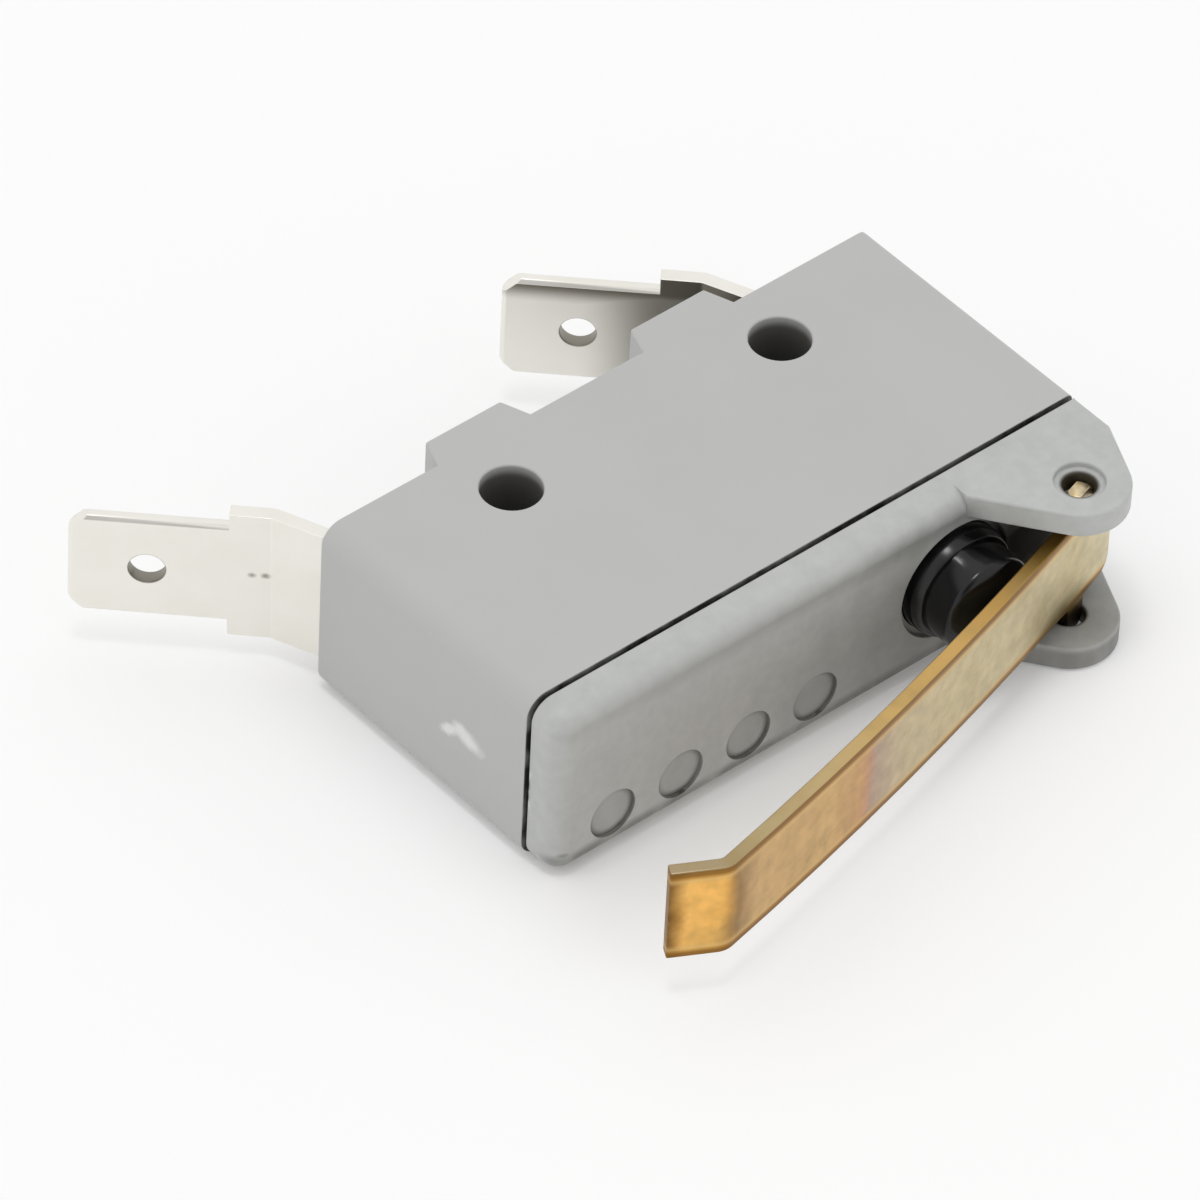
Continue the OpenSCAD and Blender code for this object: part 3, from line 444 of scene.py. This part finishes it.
def mouldedPhenolicBlack():  # black phenolic, glossy from the mould, rubbed grey in patches
    look = plungerLook
    material, tree, shader, place = newMaterial("phenolicBlack")
    patch = addNode(tree, "ShaderNodeTexNoise", {"Vector": place}, {"Scale": per(look["patch"]), "Detail": 5.0})
    grain = addNode(tree, "ShaderNodeTexNoise", {"Vector": place}, {"Scale": per(look["grain"]), "Detail": 2.0})
    least, most = look["rubbedFrom"]
    worn = addNode(tree, "ShaderNodeMapRange", {"Value": patch.outputs["Fac"]}, {"From Min": least, "From Max": most})
    colour = addNode(tree, "ShaderNodeMix", {0: worn.outputs[0]},
                     {6: toLinear(look["black"]), 7: toLinear(look["rubbed"])}, data_type="RGBA")
    shader.inputs["Specular IOR Level"].default_value = look["specular"]
    finishSurface(tree, shader, look, colour.outputs[2], patch.outputs["Fac"], grain.outputs["Fac"])
    return material


def onCapEdge(p):  # between the cap's straight side and its dome
    return p.y < plungerLook["capEnd"] and fromPlungerAxis(p) > plungerLook["capRadius"] - plungerLook["radiusBand"]


def onCollar(p):
    return (p.y < plungerLook["collarRoot"]
            and fromPlungerAxis(p) > plungerLook["capRadius"] + plungerLook["radiusBand"])


def onFlangeBack(p):
    return p.y > plungerLook["flangeBack"] and fromPlungerAxis(p) > plungerLook["flangeFrom"]


plunger = weldedCopy("plunger", "plungerButton")
# the collar's side tapers a little towards its rim
makeActive(plunger)
bpy.ops.object.mode_set(mode="EDIT")
bpy.ops.mesh.select_mode(type="VERT")
bpy.ops.mesh.select_all(action="DESELECT")
edit = bmesh.from_edit_mesh(plunger.data)
for v in edit.verts:
    at = v.co / mm
    v.select_set(abs(at.y - plungerLook["collarEdge"]) < touching
                 and abs(fromPlungerAxis(at) - plungerLook["collarRadius"]) < touching)
print("collar rim points:", sum(v.select for v in edit.verts))
bpy.ops.transform.translate(value=(0, plungerLook["taper"] * mm, 0))
bpy.ops.object.mode_set(mode="OBJECT")
roundEdges(plunger, plungerLook["capRounding"], onCapEdge)
roundEdges(plunger, plungerLook["collarRounding"], onCollar)
roundEdges(plunger, plungerLook["flangeChamfer"], onFlangeBack)
smoothFaces(plunger)
dress(plunger, "plunger", "plunger", mouldedPhenolicBlack())
print("plunger done")

# Lever

leverLook = {
    # the blade is rounded up to its sides, but not at the pins nor in the corners where they leave it
    "rounding": {"edge": 0.11, "steps": 3, "sharpFrom": 40}, "bladeSide": 2.8, "bladeEdge": 2.87, "pinReach": 0.9,
    # colours along the blade, from the bent tip to the tail, as (x in millimetres, hex), shifted by the patches
    "along": [(-18.5, "#7d5b30"), (-18.15, "#ae8142"), (-17.7, "#f4bf6c"), (-16.2, "#f0bb67"), (-15.5, "#b98d4e"),
              (-15.1, "#a07d4b"), (-14.6, "#b89668"), (-13.6, "#d0ac78"), (-8.0, "#d3ae76"), (-5.6, "#cba070"),
              (-5.0, "#c6997c"), (-4.4, "#b9a28e"), (-2.4, "#c9b897"), (2.0, "#cdbe98"), (9.0, "#d3c5a1"),
              (13.5, "#cbbd96"), (16.6, "#d9cfb0")],
    "patch": 2.4, "shift": 0.7, "tarnishAndShade": "#a8905f", "tarnishFrom": (0.5, 0.8), "tarnishShare": 0.5,
    "mottle": 0.8, "mottleTone": (0.88, 1.1),
    # colours across it, from the middle to the edge, as (distance from the middle, hex, how much it covers)
    "across": [(0.0, "#d9ba7c", 0.0), (2.0, "#d9ba7c", 0.0), (2.28, "#dcb878", 0.6), (2.42, "#b0823f", 0.7),
               (2.56, "#8a622c", 0.9), (2.85, "#805a28", 0.9)],
    # colours of the cut edge along the blade, dull at the tip, and brown with painted shade in the corner behind the
    # plunger
    "cut": [(-18.5, "#b3a284"), (-15.5, "#b09e7a"), (-14.0, "#bdab82"), (-8.0, "#c9b181"), (-3.0, "#d2b070"),
            (3.0, "#d4ac68"), (7.0, "#c09853"), (10.0, "#997735"), (13.0, "#86692e"), (14.6, "#a68d57"),
            (16.6, "#cbb98f")],
    "cutFrom": (2.78, 2.83), "cutShare": 0.92, "stainFrom": (0.42, 0.66), "stainShare": 0.6,
    # a dark mark at the tail's corner below the ear, and painted shade on the blade's lower edge near the pivot
    "dirtAndShade": [
        {"tone": "#6a5d49", "at": (16.45, -15.85, 7.0), "half": (0.45, 0.8, 0.6), "ragged": 0.3, "soft": 0.5},
        {"tone": "#86764c", "at": (11.6, -17.5, 2.9), "half": (3.0, 1.5, 1.1), "ragged": 0.8, "soft": 0.9},
    ],
    # the lower pin carries painted shade, the upper one has a pale speckled end, by distance from half height
    "lowPinShade": "#4a3c26", "lowPinShadeFrom": (-2.9, -3.2),
    "pin": "#d6c6a4", "pinFrom": (3.25, 3.75), "speckle": 0.35, "speckleGain": 1.6,
    "rolling": (7.0, 7.0, 0.16), "roughness": (0.32, 0.52), "bump": (0.25, 0.012),
}


def rolledBrassTarnished():  # half-hard brass strip: fine rolling lines, golden tip, beige tarnish, brown sheared edges
    look = leverLook
    material, tree, shader, place = newMaterial("brassRolledTarnished")
    patch = addNode(tree, "ShaderNodeTexNoise", {"Vector": place}, {"Scale": per(look["patch"]), "Detail": 5.0})
    speckle = addNode(tree, "ShaderNodeTexNoise", {"Vector": place}, {"Scale": per(look["speckle"]), "Detail": 3.0})
    lines = addNode(tree, "ShaderNodeMapping", {"Vector": place}, {"Scale": [per(s) for s in look["rolling"]]})
    lines = addNode(tree, "ShaderNodeTexNoise", {"Vector": lines.outputs[0]}, {"Scale": 1.0, "Detail": 3.0})
    axes = addNode(tree, "ShaderNodeSeparateXYZ", {"Vector": place})
    # colour along the blade, its borders shifted a little by the patches
    first, last = look["along"][0][0], look["along"][-1][0]
    shift = addNode(tree, "ShaderNodeMath", {0: patch.outputs["Fac"]},
                    {1: 2 * look["shift"] * mm, 2: -look["shift"] * mm}, operation="MULTIPLY_ADD")
    along = addNode(tree, "ShaderNodeMath", {0: axes.outputs["X"], 1: shift.outputs[0]}, operation="ADD")
    along = addNode(tree, "ShaderNodeMapRange", {"Value": along.outputs[0]},
                    {"From Min": first * mm, "From Max": last * mm})
    blade = addNode(tree, "ShaderNodeValToRGB", {"Fac": along.outputs[0]})
    setStops(blade.color_ramp, [((x - first) / (last - first), toLinear(tone)) for x, tone in look["along"]])
    least, most = look["tarnishFrom"]
    dull = addNode(tree, "ShaderNodeMapRange", {"Value": patch.outputs["Fac"]},
                   {"From Min": least, "From Max": most, "To Max": look["tarnishShare"]})
    colour = addNode(tree, "ShaderNodeMix", {0: dull.outputs[0], 6: blade.outputs["Color"]},
                     {7: toLinear(look["tarnishAndShade"])}, data_type="RGBA")
    # blotches under a millimetre wide, lighter and darker
    mottle = addNode(tree, "ShaderNodeTexNoise", {"Vector": place}, {"Scale": per(look["mottle"]), "Detail": 4.0})
    mottle = addNode(tree, "ShaderNodeMapRange", {"Value": mottle.outputs["Fac"]},
                     {"From Min": noiseSpread[0], "From Max": noiseSpread[1],
                      "To Min": look["mottleTone"][0], "To Max": look["mottleTone"][1]})
    blotched = addNode(tree, "ShaderNodeHueSaturation", {"Color": colour.outputs[2], "Value": mottle.outputs[0]})
    # sheared edges: a thin gold line, a brown one, and the cut itself
    level = addNode(tree, "ShaderNodeMath", {0: axes.outputs["Z"]}, {1: midHeight * mm}, operation="SUBTRACT")
    side = addNode(tree, "ShaderNodeMath", {0: level.outputs[0]}, operation="ABSOLUTE")
    widest = look["across"][-1][0]
    edge = addNode(tree, "ShaderNodeMapRange", {"Value": side.outputs[0]}, {"From Max": widest * mm})
    edge = addNode(tree, "ShaderNodeValToRGB", {"Fac": edge.outputs[0]})
    setStops(edge.color_ramp, [(away / widest, (*toLinear(tone)[:3], cover)) for away, tone, cover in look["across"]])
    colour = addNode(tree, "ShaderNodeMix",
                     {0: edge.outputs["Alpha"], 6: blotched.outputs[0], 7: edge.outputs["Color"]}, data_type="RGBA")
    # the cut's colours hold painted shade where it lies behind the plunger, under the ear
    cut = addNode(tree, "ShaderNodeValToRGB", {"Fac": along.outputs[0]})
    setStops(cut.color_ramp, [((x - first) / (last - first), toLinear(tone)) for x, tone in look["cut"]])
    inner, outer = [away * mm for away in look["cutFrom"]]
    onCut = addNode(tree, "ShaderNodeMapRange", {"Value": side.outputs[0]},
                    {"From Min": inner, "From Max": outer, "To Max": look["cutShare"]})
    colour = addNode(tree, "ShaderNodeMix", {0: onCut.outputs[0], 6: colour.outputs[2], 7: cut.outputs["Color"]},
                     data_type="RGBA")
    # brown stains on the cut
    least, most = look["stainFrom"]
    stain = addNode(tree, "ShaderNodeMapRange", {"Value": patch.outputs["Fac"]}, {"From Min": least, "From Max": most})
    stain = addNode(tree, "ShaderNodeMath", {0: stain.outputs[0], 1: onCut.outputs[0]}, operation="MULTIPLY")
    stain = addNode(tree, "ShaderNodeMath", {0: stain.outputs[0]}, {1: look["stainShare"]}, operation="MULTIPLY")
    colour = addNode(tree, "ShaderNodeMix", {0: stain.outputs[0], 6: colour.outputs[2]},
                     {7: toLinear(look["tarnishAndShade"])}, data_type="RGBA")
    # the dark mark and the painted shade listed above
    for spot in look["dirtAndShade"]:
        colour = addNode(tree, "ShaderNodeMix", {0: spotMask(tree, place, spot), 6: colour.outputs[2]},
                         {7: toLinear(spot["tone"])}, data_type="RGBA")
    # both pins: painted shade on the lower one, a pale speckled end on the upper one
    inner, outer = [z * mm for z in look["lowPinShadeFrom"]]
    onLow = addNode(tree, "ShaderNodeMapRange", {"Value": level.outputs[0]}, {"From Min": inner, "From Max": outer})
    colour = addNode(tree, "ShaderNodeMix", {0: onLow.outputs[0], 6: colour.outputs[2]},
                     {7: toLinear(look["lowPinShade"])}, data_type="RGBA")
    inner, outer = [z * mm for z in look["pinFrom"]]
    onPin = addNode(tree, "ShaderNodeMapRange", {"Value": level.outputs[0]}, {"From Min": inner, "From Max": outer})
    onPin = addNode(tree, "ShaderNodeMath", {0: onPin.outputs[0], 1: speckle.outputs["Fac"]}, operation="MULTIPLY")
    onPin = addNode(tree, "ShaderNodeMath", {0: onPin.outputs[0]}, {1: look["speckleGain"]},
                    operation="MULTIPLY", use_clamp=True)
    colour = addNode(tree, "ShaderNodeMix", {0: onPin.outputs[0], 6: colour.outputs[2]},
                     {7: toLinear(look["pin"])}, data_type="RGBA")
    shader.inputs["Metallic"].default_value = 1.0
    finishSurface(tree, shader, look, colour.outputs[2], lines.outputs["Fac"], lines.outputs["Fac"])
    return material


def onBlade(p):
    side = abs(p.z - midHeight)
    offPins = math.hypot(p.x - pivot.x, p.y - pivot.y) > leverLook["pinReach"]
    return side < leverLook["bladeSide"] or (side < leverLook["bladeEdge"] and offPins)


lever = weldedCopy("lever", "leverBlade")
roundEdges(lever, leverLook["rounding"], onBlade)
smoothFaces(lever)
dress(lever, "lever", "lever", rolledBrassTarnished())
print("lever done")

# Terminals

terminalLook = {
    "rounding": {"edge": 0.05, "steps": 2, "sharpFrom": 35}, "roundFrom": 2.0,
    "bright": "#f6f4ee", "yellowed": "#ebe8de", "patch": 3.0,
    "rolling": (6.0, 6.0, 0.3), "roughness": (0.3, 0.46), "bump": (0.2, 0.01),
    # dark pricks in the plating of the contact terminal
    "prick": "#a29e94",
    "pricks": [
        {"at": (-19.06, 7.19, 5.44), "half": (0.3, 0.3, 0.24), "ragged": 0.25, "soft": 0.7},
        {"at": (-18.57, 6.71, 5.45), "half": (0.36, 0.36, 0.26), "ragged": 0.25, "soft": 0.7},
    ],
    # dull walls of the tab holes: one hole, the distance to the other tab's, their radius, and the tabs' direction
    "holeX": -22.44, "holeY": 11.138, "tabPitch": 27.8, "holeRadius": 0.925, "tabAlong": (-0.7071, 0.7071, 0),
    "holeWall": "#8f8b81", "holeEdge": (0.06, 0.01),
    # painted shade on the broad faces of the common tab, for the dark case it mirrors: by height, by distance from the
    # case, past the bend
    "tarnishAndShade": "#6f6a5f", "upperFrom": (7.1, 8.3), "upperShare": 0.95, "innerFrom": (11.0, 7.8), "innerShare": 0.72,
    "bendEnd": (6.4, 6.9), "flatBelow": 0.4,
    # painted shade in the corner where the tabs leave the case
    "dirtAndShade": "#6b655a", "rootFrom": (4.05, 3.8), "rootShare": 0.8,
}


def tinPlatedBrass():  # dull electroplated tin: warm white metal, softly clouded, rolling lines still showing
    look = terminalLook
    material, tree, shader, place = newMaterial("tinPlatedBrass")
    patch = addNode(tree, "ShaderNodeTexNoise", {"Vector": place}, {"Scale": per(look["patch"]), "Detail": 4.0})
    lines = addNode(tree, "ShaderNodeMapping", {"Vector": place}, {"Scale": [per(s) for s in look["rolling"]]})
    lines = addNode(tree, "ShaderNodeTexNoise", {"Vector": lines.outputs[0]}, {"Scale": 1.0, "Detail": 3.0})
    colour = addNode(tree, "ShaderNodeMix", {0: patch.outputs["Fac"]},
                     {6: toLinear(look["yellowed"]), 7: toLinear(look["bright"])}, data_type="RGBA")
    for spot in look["pricks"]:
        colour = addNode(tree, "ShaderNodeMix", {0: spotMask(tree, place, spot), 6: colour.outputs[2]},
                         {7: toLinear(look["prick"])}, data_type="RGBA")
    # distance from the axis of the nearer hole, which stands square on its tab
    axes = addNode(tree, "ShaderNodeSeparateXYZ", {"Vector": place})
    halfPitch = look["tabPitch"] / 2 * mm
    across = addNode(tree, "ShaderNodeMath", {0: axes.outputs["X"]}, {1: look["holeX"] * mm}, operation="SUBTRACT")
    across = addNode(tree, "ShaderNodeMath", {0: across.outputs[0]}, {1: halfPitch, 2: -halfPitch}, operation="WRAP")
    along = addNode(tree, "ShaderNodeMath", {0: axes.outputs["Y"]}, {1: look["holeY"] * mm}, operation="SUBTRACT")
    above = addNode(tree, "ShaderNodeMath", {0: axes.outputs["Z"]}, {1: midHeight * mm}, operation="SUBTRACT")
    local = addNode(tree, "ShaderNodeCombineXYZ",
                    {"X": across.outputs[0], "Y": along.outputs[0], "Z": above.outputs[0]})
    along = addNode(tree, "ShaderNodeVectorMath", {0: local.outputs[0]}, {1: look["tabAlong"]},
                    operation="DOT_PRODUCT")
    away = addNode(tree, "ShaderNodeCombineXYZ", {"X": along.outputs["Value"], "Y": above.outputs[0]})
    away = addNode(tree, "ShaderNodeVectorMath", {0: away.outputs[0]}, operation="LENGTH")
    outer, inner = [(look["holeRadius"] + extra) * mm for extra in look["holeEdge"]]
    inHole = addNode(tree, "ShaderNodeMapRange", {"Value": away.outputs["Value"]},
                     {"From Min": outer, "From Max": inner})
    colour = addNode(tree, "ShaderNodeMix", {0: inHole.outputs[0], 6: colour.outputs[2]},
                     {7: toLinear(look["holeWall"])}, data_type="RGBA")
    # painted shade on the common tab, along its upper edge and towards the case
    onCommon = addNode(tree, "ShaderNodeMath", {0: axes.outputs["X"]}, {1: 0.0}, operation="GREATER_THAN")
    clean, dark = [z * mm for z in look["upperFrom"]]
    upper = addNode(tree, "ShaderNodeMapRange", {"Value": axes.outputs["Z"]},
                    {"From Min": clean, "From Max": dark, "To Max": look["upperShare"]},
                    interpolation_type="SMOOTHSTEP")
    clean, dark = [y * mm for y in look["innerFrom"]]
    inner = addNode(tree, "ShaderNodeMapRange", {"Value": axes.outputs["Y"]},
                    {"From Min": clean, "From Max": dark, "To Max": look["innerShare"]},
                    interpolation_type="SMOOTHSTEP")
    clean, dark = [y * mm for y in look["bendEnd"]]
    pastBend = addNode(tree, "ShaderNodeMapRange", {"Value": axes.outputs["Y"]}, {"From Min": clean, "From Max": dark})
    inner = addNode(tree, "ShaderNodeMath", {0: inner.outputs[0], 1: pastBend.outputs[0]}, operation="MULTIPLY")
    dull = addNode(tree, "ShaderNodeMath", {0: upper.outputs[0], 1: inner.outputs[0]}, operation="MAXIMUM")
    dull = addNode(tree, "ShaderNodeMath", {0: dull.outputs[0], 1: onCommon.outputs[0]}, operation="MULTIPLY")
    facing = addNode(tree, "ShaderNodeSeparateXYZ", {"Vector": tree.nodes["Texture Coordinate"].outputs["Normal"]})
    onFlat = addNode(tree, "ShaderNodeMath", {0: facing.outputs["Z"]}, {1: look["flatBelow"]}, operation="LESS_THAN")
    dull = addNode(tree, "ShaderNodeMath", {0: dull.outputs[0], 1: onFlat.outputs[0]}, operation="MULTIPLY")
    colour = addNode(tree, "ShaderNodeMix", {0: dull.outputs[0], 6: colour.outputs[2]},
                     {7: toLinear(look["tarnishAndShade"])}, data_type="RGBA")
    # painted shade where the tabs leave the case
    clean, dark = [y * mm for y in look["rootFrom"]]
    root = addNode(tree, "ShaderNodeMapRange", {"Value": axes.outputs["Y"]},
                   {"From Min": clean, "From Max": dark, "To Max": look["rootShare"]},
                   interpolation_type="SMOOTHSTEP")
    colour = addNode(tree, "ShaderNodeMix", {0: root.outputs[0], 6: colour.outputs[2]},
                     {7: toLinear(look["dirtAndShade"])}, data_type="RGBA")
    shader.inputs["Metallic"].default_value = 1.0
    finishSurface(tree, shader, look, colour.outputs[2], patch.outputs["Fac"], lines.outputs["Fac"])
    return material


def outsideCase(p):
    return p.y > terminalLook["roundFrom"]


tinMaterial = tinPlatedBrass()
for nodeName, pieceName in (("contact_terminal", "contactTab"), ("common_terminal", "commonTab")):
    tab = weldedCopy(nodeName, pieceName)
    roundEdges(tab, terminalLook["rounding"], outsideCase)
    smoothFaces(tab)
    dress(tab, nodeName, "case", tinMaterial)
print("terminals done")

# The pieces inside keep their CAD meshes

innerMetals = {  # by slot; the roughness falls where the tone is light
    "contact_silver": {"name": "silverStruck", "light": "#e4e2dc", "dark": "#c9c5ba", "patch": 0.9,
                       "roughness": (0.45, 0.25), "bump": (0.15, 0.02)},
    "arm_copper": {"name": "copperAlloyRolled", "light": "#cf9a68", "dark": "#b27c4c", "patch": 1.8,
                   "roughness": (0.5, 0.3), "bump": (0.15, 0.02)},
    "toggle_brass": {"name": "brassStamped", "light": "#cdae6c", "dark": "#a98748", "patch": 1.5,
                     "roughness": (0.5, 0.3), "bump": (0.15, 0.02)},
    "spring_steel": {"name": "springSteelDrawn", "light": "#a2a5a8", "dark": "#7c7f83", "patch": 0.6,
                     "roughness": (0.45, 0.25), "bump": (0.15, 0.02)},
}


def workedMetal(look):  # bare worked metal: two tones and a roughness that wander together
    material, tree, shader, place = newMaterial(look["name"])
    patch = addNode(tree, "ShaderNodeTexNoise", {"Vector": place}, {"Scale": per(look["patch"]), "Detail": 5.0})
    colour = addNode(tree, "ShaderNodeMix", {0: patch.outputs["Fac"]},
                     {6: toLinear(look["dark"]), 7: toLinear(look["light"])}, data_type="RGBA")
    shader.inputs["Metallic"].default_value = 1.0
    finishSurface(tree, shader, look, colour.outputs[2], patch.outputs["Fac"], patch.outputs["Fac"])
    return material


slotOf = {part["node"]: part["material_slot"] for part in frame["record"]["subparts"]}
madeMetals = {}
for nodeName in ("fixed_contact", "moving_contact", "contact_arm", "toggle_lever", "toggle_spring"):
    slotName = slotOf[nodeName]
    if slotName not in madeMetals:
        madeMetals[slotName] = workedMetal(innerMetals[slotName])
    mesh = frame["nodes"][nodeName].data
    mesh.materials.clear()
    mesh.materials.append(madeMetals[slotName])
print("inner pieces coloured")

# Floor, light and camera

floorLook = {
    "size": 4000.0, "colour": "#fbfbfb", "shade": "#f8f8f8", "patch": 60.0, "roughness": 0.9, "specular": 0.1,
    # lift towards white, beside the case and beyond a distance from it
    "nearLift": 0.14, "lift": 0.45, "liftFrom": 6.5, "caseMiddle": (-0.25, -7.0, 0.0), "caseHalf": (16.5, 9.5, 0.0),
}
bpy.ops.object.select_all(action="DESELECT")
bpy.ops.mesh.primitive_plane_add(size=floorLook["size"] * mm, location=(0, 0, 0))
floor = bpy.context.object
floor.name = "floor"
material, tree, shader, place = newMaterial("paperMattWhite")  # matt white paper sweep, even all over
tone = addNode(tree, "ShaderNodeTexNoise", {"Vector": place}, {"Scale": per(floorLook["patch"])})
tone = addNode(tree, "ShaderNodeMix", {0: tone.outputs["Fac"]},
               {6: toLinear(floorLook["shade"]), 7: toLinear(floorLook["colour"])}, data_type="RGBA")
tree.links.new(tone.outputs[2], shader.inputs["Base Color"])
shader.inputs["Roughness"].default_value = floorLook["roughness"]
shader.inputs["Specular IOR Level"].default_value = floorLook["specular"]
# seen straight or mirrored the paper is lifted towards white away from the case, it sends no more light to it
rays = addNode(tree, "ShaderNodeLightPath")
seen = addNode(tree, "ShaderNodeMath",
               {0: rays.outputs["Is Camera Ray"], 1: rays.outputs["Is Glossy Ray"]}, operation="ADD")
seen = addNode(tree, "ShaderNodeMath", {0: seen.outputs[0], 1: rays.outputs["Is Transmission Ray"]}, operation="ADD")
out = addNode(tree, "ShaderNodeVectorMath", {0: place}, {1: [c * mm for c in floorLook["caseMiddle"]]},
              operation="SUBTRACT")
out = addNode(tree, "ShaderNodeVectorMath", {0: out.outputs[0]}, operation="ABSOLUTE")
out = addNode(tree, "ShaderNodeVectorMath", {0: out.outputs[0]}, {1: [c * mm for c in floorLook["caseHalf"]]},
              operation="SUBTRACT")
out = addNode(tree, "ShaderNodeVectorMath", {0: out.outputs[0]}, {1: (0, 0, 0)}, operation="MAXIMUM")
out = addNode(tree, "ShaderNodeVectorMath", {0: out.outputs[0]}, operation="LENGTH")
lift = addNode(tree, "ShaderNodeMapRange", {"Value": out.outputs["Value"]},
               {"From Max": floorLook["liftFrom"] * mm, "To Min": floorLook["nearLift"], "To Max": floorLook["lift"]},
               interpolation_type="SMOOTHSTEP")
seen = addNode(tree, "ShaderNodeMath", {0: seen.outputs[0], 1: lift.outputs[0]}, operation="MULTIPLY")
white = addNode(tree, "ShaderNodeEmission", values={"Color": (1, 1, 1, 1), "Strength": 1.0})
paper = addNode(tree, "ShaderNodeMixShader", {0: seen.outputs[0], 1: shader.outputs[0], 2: white.outputs[0]})
tree.links.new(paper.outputs[0], tree.nodes["Material Output"].inputs["Surface"])
floor.data.materials.append(material)

lightLook = {
    # white light tent with a dark opening at the front left: brightness of both, its direction, where it fades
    "tent": 0.93, "opening": 0.25, "openingAt": (-0.49, -0.53, 0.69), "openingDegrees": (8, 28),
    # name, place and size in millimetres, watts
    "lamps": [("keySoftbox", (-100, 0, 790), 150, 0.85)],
}
world = bpy.data.worlds.new("lightTent")
scene.world = world
world.use_nodes = True
tree = world.node_tree
sky = tree.nodes["Background"]
sky.inputs["Color"].default_value = (1, 1, 1, 1)
outward = addNode(tree, "ShaderNodeTexCoord").outputs["Generated"]  # in a world, the direction looked at
facing = addNode(tree, "ShaderNodeVectorMath", {0: outward}, {1: lightLook["openingAt"]}, operation="DOT_PRODUCT")
inner, outer = [math.cos(math.radians(a)) for a in lightLook["openingDegrees"]]
glow = addNode(tree, "ShaderNodeMapRange", {"Value": facing.outputs["Value"]},
               {"From Min": outer, "From Max": inner, "To Min": lightLook["tent"], "To Max": lightLook["opening"]},
               interpolation_type="SMOOTHSTEP")
tree.links.new(glow.outputs[0], sky.inputs["Strength"])
for name, spot, size, watts in lightLook["lamps"]:
    bpy.ops.object.light_add(type="AREA", location=[c * mm for c in spot])
    lamp = bpy.context.object
    lamp.name = name
    lamp.data.shape = "SQUARE"
    lamp.data.size = size * mm
    lamp.data.energy = watts
    lamp.rotation_euler = (-lamp.location).to_track_quat("-Z", "Y").to_euler()

cameraLook = {  # fitted to the photograph's edges and holes
    "place": (-292.11, -314.54, 404.28), "lens": 355.68, "sensor": 36,
    "right": (0.75846, -0.65067, 0.03708), "up": (0.42761, 0.53977, 0.72512), "back": (-0.49182, -0.53411, 0.68763),
}
bpy.ops.object.camera_add()
camera = bpy.context.object
camera.name = "photoCamera"
camera.data.sensor_width = cameraLook["sensor"]
camera.data.lens = cameraLook["lens"]
turn = Matrix([cameraLook["right"], cameraLook["up"], cameraLook["back"]]).transposed().to_4x4()
camera.matrix_world = Matrix.Translation([c * mm for c in cameraLook["place"]]) @ turn
scene.camera = camera
scene.view_settings.view_transform = "Standard"
print("stage, lamps and camera done")
